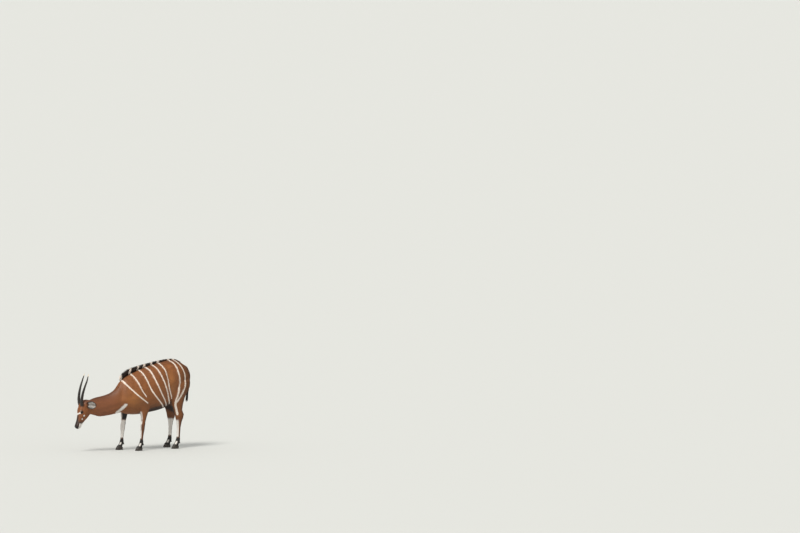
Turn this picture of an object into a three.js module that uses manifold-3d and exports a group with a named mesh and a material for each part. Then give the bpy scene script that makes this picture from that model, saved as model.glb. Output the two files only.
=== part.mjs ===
// A bongo antelope, a grown female, life size, feeding with her head down and one foreleg a step ahead.
// Units are millimetres. She heads along -X, her left side faces -Y, +Z is up, and she stands at z = 0.
// While she is built, x = 0 is under the withers and y = 0 is her middle, until the last lines centre her.
import * as THREE from "three";
import { mergeVertices } from "three/addons/utils/BufferGeometryUtils.js";
import Module from "manifold-3d";

const wasm = await Module();
wasm.setup();

// Driving sizes
const GAP = 0.3; // air between pieces that touch

// Bend of the neck and head to her right, and how steeply the face points down
const NECK_BEND = THREE.MathUtils.degToRad(15);
const HEAD_BEND = THREE.MathUtils.degToRad(10);
const FACE_PITCH = THREE.MathUtils.degToRad(70);
const HEAD_AT = new THREE.Vector3(-712, 118, 676); // middle of the head at the nape
const EYE_RADIUS = 20;
const EYE_AT = { along: 136, out: 42, rise: 13 };
const HORN_BASE_RADIUS = 25;
const EAR_LENGTH = 192;
const CREST_LOCKS = 46;
const TAIL_LOCKS = 11;

const COLOURS = {
  coat: 0x9a5527,
  dark: 0x2a1a14,
  horn: 0x35302c,
  hoof: 0x1d1a18,
  eye: 0x1a0f0a,
};

// Solids and geometry

// A closed three.js geometry as a solid that can be joined and cut.
function solid(geometry) {
  const bare = new THREE.BufferGeometry();
  bare.setAttribute("position", geometry.getAttribute("position"));
  bare.setIndex(geometry.index);
  const merged = mergeVertices(bare, 1e-4);
  const made = new wasm.Manifold(
    new wasm.Mesh({
      numProp: 3,
      vertProperties: merged.attributes.position.array,
      triVerts: new Uint32Array(merged.index.array),
    }),
  );
  if (made.volume() < 0) throw new Error("a solid is inside out");
  return made;
}

// The solid's largest closed surface, as a geometry.
function shell(made) {
  const bodies = made.decompose();
  bodies.sort((a, b) => b.volume() - a.volume());
  const mesh = bodies[0].getMesh();
  const flat = new Float32Array(mesh.numVert * 3);
  for (let i = 0; i < mesh.numVert; i++) {
    const start = i * mesh.numProp;
    flat.set(mesh.vertProperties.subarray(start, start + 3), i * 3);
  }
  const geometry = new THREE.BufferGeometry();
  geometry.setAttribute("position", new THREE.BufferAttribute(flat, 3));
  geometry.setIndex(new THREE.BufferAttribute(new Uint32Array(mesh.triVerts), 1));
  geometry.computeVertexNormals();
  return geometry;
}

function joined(solids) {
  return solids.reduce((all, one) => all.add(one));
}

// A closed skin over rings of points, each ring with as many points, and a fan over each end.
function loft(rings) {
  const count = rings[0].length;
  const points = [];
  const faces = [];
  const middle = (ring) =>
    ring.reduce((sum, p) => sum.add(p), new THREE.Vector3()).divideScalar(count);
  rings.forEach((ring) => ring.forEach((p) => points.push(p.x, p.y, p.z)));
  for (let r = 0; r + 1 < rings.length; r++) {
    for (let k = 0; k < count; k++) {
      const a = r * count + k;
      const b = r * count + ((k + 1) % count);
      faces.push(a, b, a + count, b, b + count, a + count);
    }
  }
  const [start, end] = [rings[0], rings[rings.length - 1]];
  const startAt = points.length / 3;
  const lastRing = (rings.length - 1) * count;
  for (const ring of [start, end]) points.push(...middle(ring).toArray());
  for (let k = 0; k < count; k++) {
    const next = (k + 1) % count;
    faces.push(next, k, startAt);
    faces.push(lastRing + k, lastRing + next, startAt + 1);
  }
  const geometry = new THREE.BufferGeometry();
  geometry.setAttribute("position", new THREE.Float32BufferAttribute(points, 3));
  geometry.setIndex(faces);
  return geometry;
}

// A loft as a solid, whichever way its rings run.
function loftSolid(rings) {
  try {
    return solid(loft(rings));
  } catch {
    return solid(loft(rings.map((ring) => [...ring].reverse())));
  }
}

// Slices between the given ones: every named size follows a smooth curve through its values.
function smoothSlices(slices, steps) {
  const names = Object.keys(slices[0]);
  const at = (i) => slices[Math.min(Math.max(i, 0), slices.length - 1)];
  const curve = (a, b, c, d, t) =>
    0.5 * (2 * b + (c - a) * t + (2 * a - 5 * b + 4 * c - d) * t ** 2 + (3 * b - a - 3 * c + d) * t ** 3);
  const made = [];
  for (let i = 0; i + 1 < slices.length; i++) {
    for (let s = 0; s < steps; s++) {
      const row = {};
      for (const name of names) {
        row[name] = curve(at(i - 1)[name], at(i)[name], at(i + 1)[name], at(i + 2)[name], s / steps);
      }
      made.push(row);
    }
  }
  made.push(at(slices.length - 1));
  return made;
}

const power = (v, p) => Math.sign(v) * Math.abs(v) ** p;

// An upright slice: an oval from bottom to top, widest at its own height. `peak` under 2 sharpens its top.
function uprightSlice({ x, y, top, bottom, half, widest, peak }, bend, sides) {
  const level = bottom + (top - bottom) * widest;
  const across = new THREE.Vector3(Math.sin(bend), Math.cos(bend), 0);
  const ring = [];
  for (let k = 0; k < sides; k++) {
    const angle = (2 * Math.PI * k) / sides;
    const [c, s] = [Math.cos(angle), Math.sin(angle)];
    const exponent = s > 0 ? 2 / peak : 0.94;
    const rise = (s > 0 ? top - level : level - bottom) * power(s, s > 0 ? 1 : 0.94);
    const point = new THREE.Vector3(x, y, level + rise);
    ring.push(point.addScaledVector(across, half * power(c, exponent)));
  }
  return ring;
}

// Lifts a point of the skin out of the body, or sinks it, by every swelling or hollow near it on its side.
function formed(point, forms, core) {
  const outward = new THREE.Vector3(0, point.y, point.z - core).normalize();
  let lift = 0;
  for (const { at, reach, lift: height } of forms) {
    const gone = [point.x, Math.abs(point.y), point.z].map((v, i) => (v - at[i]) / reach[i]);
    lift += height * Math.exp(-(gone[0] ** 2 + gone[1] ** 2 + gone[2] ** 2));
  }
  return point.clone().addScaledVector(outward, lift);
}

// A level slice of a leg: an oval from its front to its rear edge.
function levelSlice({ z, front, rear, y, half }, sides) {
  const ring = [];
  for (let k = 0; k < sides; k++) {
    const angle = (2 * Math.PI * k) / sides;
    const x = (front + rear) / 2 + ((rear - front) / 2) * Math.cos(angle);
    ring.push(new THREE.Vector3(x, y + half * Math.sin(angle), z));
  }
  return ring;
}

// A round or oval tube along a curve. `radius` gives its two half widths at a share of the way, and `side`
// is the direction of the first one.
function tube(curve, steps, sides, side, radius) {
  const rings = [];
  for (let i = 0; i <= steps; i++) {
    const t = i / steps;
    const at = curve.getPoint(t);
    const along = curve.getTangent(t);
    const across = side.clone().addScaledVector(along, -side.dot(along)).normalize();
    const up = new THREE.Vector3().crossVectors(along, across);
    const [wide, deep] = radius(t);
    const ring = [];
    for (let k = 0; k < sides; k++) {
      const angle = (2 * Math.PI * k) / sides;
      ring.push(
        at
          .clone()
          .addScaledVector(across, wide * Math.cos(angle))
          .addScaledVector(up, deep * Math.sin(angle)),
      );
    }
    rings.push(ring);
  }
  return loftSolid(rings);
}

function ball(radii, at, turn = new THREE.Euler(), detail = [11, 7]) {
  const geometry = new THREE.SphereGeometry(1, ...detail);
  geometry.scale(...radii);
  geometry.applyMatrix4(new THREE.Matrix4().makeRotationFromEuler(turn));
  geometry.translate(...at);
  return solid(geometry);
}

function block(low, high) {
  const size = high.map((v, i) => v - low[i]);
  const geometry = new THREE.BoxGeometry(...size);
  geometry.translate(...high.map((v, i) => (v + low[i]) / 2));
  return solid(geometry);
}

// Cuts a solid at a plane and gives the part ahead of it and the part behind, with the gap between them.
function cutAt(made, facing, point) {
  const normal = facing.clone().normalize();
  const offset = normal.dot(point);
  const ahead = made.trimByPlane(normal.toArray(), offset + GAP / 2);
  const behind = made.trimByPlane(normal.clone().negate().toArray(), -offset + GAP / 2);
  return [ahead, behind];
}

// Cuts blocks out of a solid and gives the part inside them and the rest, with the gap between them.
function cutOut(made, blocks) {
  const grown = (by) => {
    return joined(blocks.map(([low, high]) => block(low.map((v) => v - by), high.map((v) => v + by))));
  };
  return [made.intersect(grown(-GAP / 2)), made.subtract(grown(GAP / 2))];
}

// A flat tapered lock of hair: it leaves `root` along `lie`, bends towards `bend`, and ends in a point.
function lock({ root, lie, bend, across, length, width, thickness, sunk }) {
  const normal = new THREE.Vector3().crossVectors(lie, across).normalize();
  const onLine = (t) =>
    root
      .clone()
      .addScaledVector(lie, t * (length + sunk) - sunk)
      .addScaledVector(bend, length * t * t);
  const diamond = (t, wide, thick) =>
    [[1, 0], [0, 1], [-1, 0], [0, -1]].map(([a, b]) =>
      onLine(t)
        .addScaledVector(across, (a * wide) / 2)
        .addScaledVector(normal, (b * thick) / 2),
    );
  return loftSolid([
    diamond(0, width, thickness),
    diamond(0.42, width * 0.95, thickness * 0.8),
    diamond(0.78, width * 0.68, thickness * 0.55),
    diamond(1, width * 0.06, thickness * 0.12),
  ]);
}

// A repeatable spread of values from -1 to 1, so that no two locks are alike.
function vary(index, salt) {
  const v = Math.sin(index * 12.9898 + salt * 78.233) * 43758.5453;
  return 2 * (v - Math.floor(v)) - 1;
}

// The trunk: a deep barrel that rises from the withers to the croup

const TRUNK = [
  { x: -262, y: 0, top: 760, bottom: 640, half: 48, widest: 0.5, peak: 2 },
  { x: -240, y: 0, top: 868, bottom: 574, half: 104, widest: 0.45, peak: 1.9 },
  { x: -180, y: 0, top: 985, bottom: 526, half: 148, widest: 0.42, peak: 1.5 },
  { x: -90, y: 0, top: 1044, bottom: 500, half: 178, widest: 0.42, peak: 1.25 },
  { x: 10, y: 0, top: 1084, bottom: 490, half: 196, widest: 0.43, peak: 1.25 },
  { x: 110, y: 0, top: 1116, bottom: 494, half: 214, widest: 0.45, peak: 1.45 },
  { x: 210, y: 0, top: 1147, bottom: 507, half: 234, widest: 0.46, peak: 1.65 },
  { x: 310, y: 0, top: 1173, bottom: 522, half: 245, widest: 0.47, peak: 1.75 },
  { x: 410, y: 0, top: 1194, bottom: 540, half: 243, widest: 0.49, peak: 1.75 },
  { x: 510, y: 0, top: 1212, bottom: 570, half: 228, widest: 0.53, peak: 1.7 },
  { x: 600, y: 0, top: 1226, bottom: 618, half: 208, widest: 0.6, peak: 1.75 },
  { x: 680, y: 0, top: 1222, bottom: 690, half: 194, widest: 0.66, peak: 1.8 },
  { x: 758, y: 0, top: 1190, bottom: 760, half: 174, widest: 0.66, peak: 1.8 },
  { x: 828, y: 0, top: 1136, bottom: 820, half: 154, widest: 0.58, peak: 2 },
  { x: 870, y: 0, top: 1080, bottom: 866, half: 122, widest: 0.55, peak: 2.2 },
  { x: 890, y: 0, top: 1020, bottom: 916, half: 66, widest: 0.5, peak: 2.2 },
];
const TRUNK_SIDES = 24;
const TRUNK_CORE = 800; // height that the swellings rise away from

// Paired muscles and bones that show under the skin of the trunk.
const TRUNK_FORMS = [
  { name: "shoulder blade", at: [28, 150, 900], reach: [86, 90, 170], lift: 15 },
  { name: "shoulder", at: [-70, 150, 700], reach: [90, 90, 110], lift: 24 },
  { name: "upper arm", at: [70, 180, 640], reach: [110, 90, 90], lift: 18 },
  { name: "hollow behind the shoulder", at: [170, 190, 880], reach: [60, 90, 130], lift: -9 },
  { name: "flank hollow", at: [500, 190, 1010], reach: [80, 80, 80], lift: -16 },
  { name: "hip bone", at: [575, 130, 1130], reach: [50, 60, 50], lift: 15 },
  { name: "thigh", at: [660, 170, 900], reach: [120, 90, 190], lift: 26 },
  { name: "buttock", at: [800, 130, 1000], reach: [70, 80, 130], lift: 18 },
];

function trunkSolid() {
  const rings = smoothSlices(TRUNK, 2).map((slice) => uprightSlice(slice, 0, TRUNK_SIDES));
  return loftSolid(rings.map((ring) => ring.map((p) => formed(p, TRUNK_FORMS, TRUNK_CORE))));
}

// Height of the back at x, from the same slices.
function backHeight(x) {
  const slices = smoothSlices(TRUNK, 8);
  const next = slices.findIndex((slice) => slice.x > x);
  const [a, b] = [slices[next - 1], slices[next]];
  return THREE.MathUtils.mapLinear(x, a.x, b.x, a.top, b.top);
}

// The neck: deep where it leaves the shoulders, level near the head, and bent to her right

const NECK = [
  { x: -40, y: 0, top: 1040, bottom: 580, half: 96, widest: 0.4, peak: 1.6 },
  { x: -150, y: 2, top: 1004, bottom: 540, half: 118, widest: 0.42, peak: 1.6 },
  { x: -215, y: 6, top: 955, bottom: 526, half: 114, widest: 0.44, peak: 1.65 },
  { x: -285, y: 18, top: 852, bottom: 510, half: 98, widest: 0.47, peak: 1.8 },
  { x: -365, y: 40, top: 797, bottom: 495, half: 85, widest: 0.5, peak: 1.8 },
  { x: -455, y: 63, top: 768, bottom: 482, half: 78, widest: 0.5, peak: 1.8 },
  { x: -545, y: 86, top: 750, bottom: 474, half: 76, widest: 0.5, peak: 1.8 },
  { x: -615, y: 101, top: 726, bottom: 490, half: 72, widest: 0.5, peak: 1.9 },
  { x: -665, y: 110, top: 696, bottom: 530, half: 58, widest: 0.5, peak: 2 },
];
const NECK_SIDES = 22;

function neckSolid() {
  const slices = smoothSlices(NECK, 2);
  const rings = slices.map((slice) => {
    const bend = NECK_BEND * THREE.MathUtils.smoothstep(-slice.x, 120, 320);
    return uprightSlice(slice, bend, NECK_SIDES);
  });
  return loftSolid(rings);
}

// The head, built along its own axes: `along` from nape to nose, `out` to her left, `rise` up from the face

const headFrame = (() => {
  const ahead = new THREE.Vector3(-Math.cos(HEAD_BEND), Math.sin(HEAD_BEND), 0);
  const up = new THREE.Vector3(0, 0, 1);
  const down = Math.sin(FACE_PITCH);
  const level = Math.cos(FACE_PITCH);
  const along = ahead.clone().multiplyScalar(level).addScaledVector(up, -down);
  const rise = ahead.clone().multiplyScalar(down).addScaledVector(up, level);
  const out = new THREE.Vector3().crossVectors(rise, along);
  return new THREE.Matrix4().makeBasis(along, out, rise).setPosition(HEAD_AT);
})();

function placed(made) {
  return made.transform(headFrame.toArray());
}

const HEAD = [
  { x: -48, y: 0, top: -4, bottom: -66, half: 26, widest: 0.5, peak: 2 },
  { x: -38, y: 0, top: 18, bottom: -86, half: 43, widest: 0.5, peak: 2 },
  { x: -14, y: 0, top: 40, bottom: -116, half: 57, widest: 0.56, peak: 2.1 },
  { x: 38, y: 0, top: 57, bottom: -156, half: 64, widest: 0.66, peak: 2.3 },
  { x: 82, y: 0, top: 60, bottom: -165, half: 63, widest: 0.72, peak: 2.5 },
  { x: 126, y: 0, top: 55, bottom: -150, half: 59, widest: 0.74, peak: 2.6 },
  { x: 172, y: 0, top: 45, bottom: -122, half: 51, widest: 0.7, peak: 2.5 },
  { x: 218, y: 0, top: 36, bottom: -94, half: 43, widest: 0.62, peak: 2.3 },
  { x: 264, y: 0, top: 30, bottom: -74, half: 39, widest: 0.57, peak: 2.2 },
  { x: 306, y: 0, top: 28, bottom: -64, half: 40, widest: 0.56, peak: 2.3 },
  { x: 340, y: 0, top: 25, bottom: -57, half: 40, widest: 0.56, peak: 2.4 },
  { x: 361, y: 0, top: 16, bottom: -46, half: 34, widest: 0.58, peak: 2.3 },
  { x: 372, y: 0, top: -2, bottom: -28, half: 18, widest: 0.6, peak: 2 },
];
const HEAD_SIDES = 28;
const HEAD_CORE = -40;
const SIDES = { left: 1, right: -1 }; // along `out`
const LIP_DEPTH = 4;

// Paired swellings and hollows of the skull and its muscles, each fading out over its reach.
const HEAD_FORMS = [
  { name: "horn seat", at: [30, 40, 56], reach: [34, 24, 24], lift: 12 },
  { name: "ear root", at: [10, 58, -12], reach: [26, 26, 26], lift: 14 },
  { name: "brow", at: [122, 54, 40], reach: [34, 22, 15], lift: 9 },
  { name: "eye socket", at: [136, 62, 16], reach: [19, 30, 14], lift: -6 },
  { name: "cheekbone", at: [158, 62, -10], reach: [56, 30, 13], lift: 8 },
  { name: "jaw muscle", at: [80, 60, -86], reach: [46, 34, 46], lift: 9 },
  { name: "cheek hollow", at: [206, 46, -34], reach: [44, 30, 24], lift: -4 },
  { name: "nostril wing", at: [352, 30, 8], reach: [15, 16, 13], lift: 7 },
  { name: "upper lip", at: [324, 38, -14], reach: [34, 22, 12], lift: 4 },
  { name: "lower lip", at: [326, 26, -52], reach: [30, 22, 12], lift: 3 },
];

function headLoft(shrunk) {
  const slices = smoothSlices(HEAD, 2).map((slice) => ({
    ...slice,
    top: slice.top - shrunk,
    bottom: slice.bottom + shrunk,
    half: slice.half - shrunk,
  }));
  const rings = slices.map((slice) => uprightSlice(slice, 0, HEAD_SIDES));
  return loftSolid(rings.map((ring) => ring.map((p) => formed(p, HEAD_FORMS, HEAD_CORE))));
}

const MOUTH = { corner: 262, height: -36, thickness: 2.6 };

// A groove along the closed mouth, as deep as the lips are thick.
function mouthGroove() {
  const shape = new THREE.Shape();
  const { corner, height, thickness } = MOUTH;
  const [middle, end] = [corner + 50, corner + 124];
  shape.moveTo(corner, height + 6);
  shape.quadraticCurveTo(middle, height - 4, end, height + 4);
  shape.lineTo(end, height + 4 + thickness);
  shape.quadraticCurveTo(middle, height - 4 + thickness, corner, height + 7);
  const width = 120;
  const bare = new THREE.BufferGeometry();
  const slab = new THREE.ExtrudeGeometry(shape, { depth: width, bevelEnabled: false, curveSegments: 5 });
  bare.setAttribute("position", slab.getAttribute("position"));
  bare.rotateX(Math.PI / 2);
  bare.translate(0, width / 2, 0);
  return solid(mergeVertices(bare, 1e-4)).subtract(headLoft(LIP_DEPTH));
}

// The eyelids: a skin over the eyeball, open in an almond whose rear corner sits a little higher.
const LIDS = { thickness: 3, opening: 36, above: 12, below: 10, tilt: -0.16 };

function almond(side) {
  const shape = new THREE.Shape();
  const corner = LIDS.opening / 2;
  shape.moveTo(-corner, 0);
  shape.quadraticCurveTo(0, 2 * LIDS.above, corner, 0);
  shape.quadraticCurveTo(0, -2 * LIDS.below, -corner, 0);
  const opening = new THREE.ExtrudeGeometry(shape, { depth: 60, bevelEnabled: false, curveSegments: 5 });
  const bare = new THREE.BufferGeometry();
  bare.setAttribute("position", opening.getAttribute("position"));
  bare.rotateX(side > 0 ? -Math.PI / 2 : Math.PI / 2);
  bare.rotateY(LIDS.tilt);
  bare.translate(EYE_AT.along, side * (EYE_AT.out + 2), EYE_AT.rise);
  return solid(mergeVertices(bare, 1e-4));
}

// Horns: keeled, in line with the face, spreading and turning in an open twist

const HORN_LINE = [
  [66, 26, 22],
  [12, 42, 62],
  [-85, 60, 90],
  [-190, 76, 100],
  [-295, 82, 100],
  [-390, 70, 106],
];
const HORN_START = 0.045; // share of the line that the skin of the head covers

function hornSolid(side, grown) {
  const curve = new THREE.CatmullRomCurve3(
    HORN_LINE.map(([along, out, rise]) => new THREE.Vector3(along, side * out, rise)),
  );
  const [steps, sides] = [20, 11];
  const rings = [];
  for (let i = 0; i <= steps; i++) {
    const t = i / steps;
    const at = curve.getPoint(t);
    const line = curve.getTangent(t);
    const across = new THREE.Vector3(0, side, 0).addScaledVector(line, -side * line.y).normalize();
    const up = new THREE.Vector3().crossVectors(line, across);
    const ripple = 1 + 0.03 * Math.sin(t * 70) * (1 - t);
    const thick = HORN_BASE_RADIUS * (1 - t) ** 0.62 * ripple + 2.2 + grown;
    const twist = side * 3.6 * t;
    const ring = [];
    for (let k = 0; k < sides; k++) {
      const angle = (2 * Math.PI * k) / sides;
      const keel = 1 + 0.2 * Math.cos(angle - twist) ** 3 * (1 - 0.6 * t);
      const spread = thick * keel;
      ring.push(
        at
          .clone()
          .addScaledVector(across, spread * Math.cos(angle))
          .addScaledVector(up, spread * 0.88 * Math.sin(angle)),
      );
    }
    rings.push(ring);
  }
  const line = curve.getTangent(HORN_START);
  return cutAt(loftSolid(rings), line, curve.getPoint(HORN_START).addScaledVector(line, -2 * grown))[0];
}

// Ears: broad, cupped leaves on a short round root, held out to the sides

const EAR_START = 0.1; // share of its length that is sunk in the head
const EAR_AT = { along: 14, out: 50, rise: -14 };
const EAR_AXIS = { along: -0.12, out: 0.9, rise: -0.4 };
const EAR_FACING = { along: 0.42, out: 0.12, rise: 0.9 };
const EAR = [
  { t: 0, half: 21, spread: 2.5, wall: 15 },
  { t: 0.12, half: 23, spread: 2.35, wall: 9 },
  { t: 0.28, half: 37, spread: 1.75, wall: 5.5 },
  { t: 0.48, half: 52, spread: 1.35, wall: 4.4 },
  { t: 0.68, half: 54, spread: 1.15, wall: 3.8 },
  { t: 0.85, half: 40, spread: 0.95, wall: 3.2 },
  { t: 0.95, half: 22, spread: 0.8, wall: 2.6 },
  { t: 1, half: 7, spread: 0.7, wall: 2 },
];

function earSolid(side, grown) {
  const axis = new THREE.Vector3(EAR_AXIS.along, side * EAR_AXIS.out, EAR_AXIS.rise).normalize();
  const facing = new THREE.Vector3(EAR_FACING.along, side * EAR_FACING.out, EAR_FACING.rise);
  facing.addScaledVector(axis, -facing.dot(axis)).normalize();
  const across = new THREE.Vector3().crossVectors(axis, facing).normalize();
  const root = new THREE.Vector3(EAR_AT.along, side * EAR_AT.out, EAR_AT.rise);
  const arcPoints = 7;
  const rings = smoothSlices(EAR, 1).map(({ t, half, spread, wall }) => {
    // The cup's radius, so that its two edges stand 2 * half apart when it opens as wide as a half circle.
    const radius = spread > Math.PI / 2 ? half : half / Math.sin(spread);
    const middle = root
      .clone()
      .addScaledVector(axis, t * EAR_LENGTH)
      .addScaledVector(facing, radius * 0.75 - 12 * t * (1 - t) + 16 * t * t);
    const onArc = (angle, r) =>
      middle
        .clone()
        .addScaledVector(across, r * Math.sin(angle))
        .addScaledVector(facing, -r * Math.cos(angle));
    const ring = [];
    const shareAt = (k) => (2 * k) / (arcPoints - 1) - 1;
    for (let k = 0; k < arcPoints; k++) ring.push(onArc(spread * shareAt(k), radius + grown));
    for (let k = arcPoints - 1; k >= 0; k--) {
      const share = shareAt(k);
      const edge = 1 - 0.55 * Math.abs(share) ** 3;
      ring.push(onArc(spread * 0.97 * share, radius - wall * edge - grown));
    }
    return ring;
  });
  return cutAt(loftSolid(rings), axis, root.addScaledVector(axis, EAR_START * EAR_LENGTH - 2 * grown))[0];
}

function headParts() {
  let head = headLoft(0).subtract(mouthGroove());
  const parts = {};
  for (const [name, side] of Object.entries(SIDES)) {
    const nostril = ball([13, 6, 8], [360, side * 25, 11], new THREE.Euler(0, 0.7, side * 0.5), [10, 8]);
    head = head.subtract(nostril);
    const eyeAt = [EYE_AT.along, side * EYE_AT.out, EYE_AT.rise];
    const round = (r) => ball([r, r, r], eyeAt, new THREE.Euler(), [13, 9]);
    const lids = round(EYE_RADIUS + LIDS.thickness).subtract(almond(side));
    head = head.add(lids).subtract(round(EYE_RADIUS + GAP));
    parts[`eye_${name}`] = placed(round(EYE_RADIUS));
    head = head.subtract(hornSolid(side, GAP)).subtract(earSolid(side, GAP));
    parts[`horn_${name}`] = placed(hornSolid(side, 0));
    parts[`ear_${name}`] = placed(earSolid(side, 0));
  }
  return { head: placed(head), parts };
}

// Legs: each a column of level slices, with the shoulder or thigh at its top

const FORELEG = [
  { z: 860, front: -90, rear: 130, y: 84, half: 30 },
  { z: 790, front: -128, rear: 168, y: 104, half: 56 },
  { z: 720, front: -142, rear: 194, y: 122, half: 68 },
  { z: 660, front: -112, rear: 204, y: 134, half: 66 },
  { z: 605, front: -28, rear: 192, y: 141, half: 57 },
  { z: 550, front: 28, rear: 166, y: 144, half: 47 },
  { z: 470, front: 44, rear: 134, y: 145, half: 37 },
  { z: 390, front: 44, rear: 110, y: 145, half: 31 },
  { z: 335, front: 36, rear: 102, y: 145, half: 32 },
  { z: 292, front: 30, rear: 98, y: 145, half: 33 },
  { z: 250, front: 34, rear: 86, y: 145, half: 27 },
  { z: 200, front: 33, rear: 77, y: 145, half: 23 },
  { z: 145, front: 27, rear: 72, y: 145, half: 22.5 },
  { z: 108, front: 16, rear: 76, y: 145, half: 29 },
  { z: 80, front: 0, rear: 64, y: 145, half: 29 },
  { z: 56, front: -16, rear: 56, y: 145, half: 32 },
  { z: 22, front: -30, rear: 44, y: 145, half: 34 },
];
const HINDLEG = [
  { z: 1040, front: 620, rear: 780, y: 76, half: 34 },
  { z: 985, front: 566, rear: 850, y: 98, half: 68 },
  { z: 925, front: 532, rear: 872, y: 112, half: 88 },
  { z: 850, front: 512, rear: 858, y: 122, half: 95 },
  { z: 770, front: 508, rear: 810, y: 129, half: 87 },
  { z: 690, front: 524, rear: 768, y: 134, half: 70 },
  { z: 615, front: 560, rear: 744, y: 136, half: 54 },
  { z: 530, front: 596, rear: 734, y: 137, half: 40 },
  { z: 465, front: 617, rear: 756, y: 137, half: 35 },
  { z: 420, front: 624, rear: 748, y: 137, half: 35 },
  { z: 365, front: 638, rear: 722, y: 137, half: 30 },
  { z: 290, front: 646, rear: 704, y: 137, half: 25 },
  { z: 200, front: 645, rear: 696, y: 137, half: 24 },
  { z: 145, front: 637, rear: 692, y: 137, half: 25 },
  { z: 110, front: 624, rear: 694, y: 137, half: 30 },
  { z: 82, front: 608, rear: 680, y: 137, half: 30 },
  { z: 56, front: 592, rear: 668, y: 137, half: 32 },
  { z: 22, front: 578, rear: 656, y: 137, half: 34 },
];
const LEG_SIDES = 14;
const CORONET = { height: 50, tilt: 0.36 };

// Each leg is cut from the body below `top`, outside `inner`, and is free of the trunk below `free`.
// `stride` is how far its foot is set back, so that she stands in mid step.
const FORE = { slices: FORELEG, knee: 352, top: 588, free: 486, inner: 92 };
const HIND = { slices: HINDLEG, knee: 486, top: 745, free: 560, inner: 58 };
const LEGS = [
  { name: "foreleg_left", ...FORE, side: -1, stride: 0, upper: [-6, 186], lower: [-90, 200] },
  { name: "foreleg_right", ...FORE, side: 1, stride: -135, upper: [-136, 64], lower: [-230, 80] },
  { name: "hindleg_left", ...HIND, side: -1, stride: -8, upper: [500, 900], lower: [510, 900] },
  { name: "hindleg_right", ...HIND, side: 1, stride: 34, upper: [508, 900], lower: [530, 900] },
];

function shiftAt(leg, z) {
  const reach = leg.slices === FORELEG ? [930, 520] : [980, 480];
  return leg.stride * (1 - THREE.MathUtils.smoothstep(z, reach[1], reach[0]));
}

function legSolid(leg) {
  const slices = smoothSlices(leg.slices, 1).map((slice) => {
    const shift = shiftAt(leg, slice.z);
    return { ...slice, front: slice.front + shift, rear: slice.rear + shift, y: leg.side * slice.y };
  });
  return loftSolid(slices.map((slice) => levelSlice(slice, LEG_SIDES)));
}

// Hooves: two claws under each foot and two dewclaws behind the fetlock

function footMiddle(leg) {
  const last = leg.slices[leg.slices.length - 2];
  return { x: (last.front + last.rear) / 2 + leg.stride, y: leg.side * last.y };
}

function coronetFacing() {
  return new THREE.Vector3(Math.sin(CORONET.tilt), 0, Math.cos(CORONET.tilt));
}

function clawSolid(leg, inward) {
  const { x, y } = footMiddle(leg);
  const levels = [
    { z: 0, front: x - 72, rear: x + 32, y: 0, half: 20.5 },
    { z: 30, front: x - 58, rear: x + 36, y: 0, half: 20 },
    { z: 56, front: x - 43, rear: x + 36, y: 0, half: 17.5 },
    { z: 86, front: x - 24, rear: x + 34, y: 0, half: 13 },
  ];
  const middle = y + inward * 17.5;
  const rings = levels.map((level) => {
    const ring = levelSlice({ ...level, y: middle }, 12);
    // The toe turns in, so each claw is narrow in front.
    ring.forEach((p) => {
      const forward = THREE.MathUtils.clamp((x + 20 - p.x) / 92, 0, 1);
      p.y = middle + (p.y - middle) * (1 - 0.35 * forward) - inward * 5 * forward;
    });
    return ring;
  });
  const whole = loftSolid(rings);
  const toMiddle = new THREE.Vector3(0, inward, 0);
  const [claw] = cutAt(whole, toMiddle, new THREE.Vector3(x, y + inward * 0.8, 0));
  const [, below] = cutAt(claw, coronetFacing(), new THREE.Vector3(x, y, CORONET.height));
  return below;
}

function dewclawBall(leg, inward, grown) {
  const { x, y } = footMiddle(leg);
  const radii = [13, 9.5, 15].map((r) => r + grown);
  const turn = new THREE.Euler(0, -0.5, 0);
  return ball(radii, [x + 47, y + inward * 17, 84], turn, [8, 5]);
}

// The tail: a thin dock that hangs behind the thighs, with a tuft of dark locks at its end

const TAIL_LINE = new THREE.CatmullRomCurve3([
  new THREE.Vector3(780, 0, 1146),
  new THREE.Vector3(852, 0, 1126),
  new THREE.Vector3(902, -2, 1072),
  new THREE.Vector3(922, -6, 984),
  new THREE.Vector3(915, -12, 892),
  new THREE.Vector3(898, -18, 800),
  new THREE.Vector3(886, -22, 735),
]);
const TAIL_START = 0.2;
const TUFT = { from: 0.64, length: 132, width: 30, thickness: 9 };

// The dock, parted where it leaves the rump: the tail's part and the rump's. A grown copy makes a socket.
function dockParts(grown) {
  const dock = tube(TAIL_LINE, 18, 10, new THREE.Vector3(0, 1, 0), (t) => {
    const half = THREE.MathUtils.lerp(25, 9, t ** 0.7) + grown;
    return [half, half * 0.85];
  });
  const line = TAIL_LINE.getTangent(TAIL_START);
  return cutAt(dock, line, TAIL_LINE.getPoint(TAIL_START).addScaledVector(line, -2 * grown));
}

function tailSolids() {
  const [hanging, root] = dockParts(0);
  const locks = [];
  for (let i = 0; i < TAIL_LOCKS; i++) {
    const share = i / (TAIL_LOCKS - 1);
    const t = THREE.MathUtils.lerp(TUFT.from, 0.985, share);
    const angle = i * 2.4;
    const around = new THREE.Vector3(Math.cos(angle), Math.sin(angle), 0);
    const line = TAIL_LINE.getTangent(t);
    const lie = line.clone().addScaledVector(around, 0.26).normalize();
    locks.push(
      lock({
        root: TAIL_LINE.getPoint(t).addScaledVector(around, 5),
        lie,
        bend: around.clone().multiplyScalar(-0.14),
        across: new THREE.Vector3().crossVectors(lie, around).normalize(),
        length: TUFT.length * (0.82 + 0.12 * vary(i, 1) + 0.12 * share),
        width: TUFT.width,
        thickness: TUFT.thickness,
        sunk: 6,
      }),
    );
  }
  return { tail: joined([hanging, ...locks]), root };
}

// The crest: short stiff hair that stands along the spine, tallest behind the withers

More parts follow.
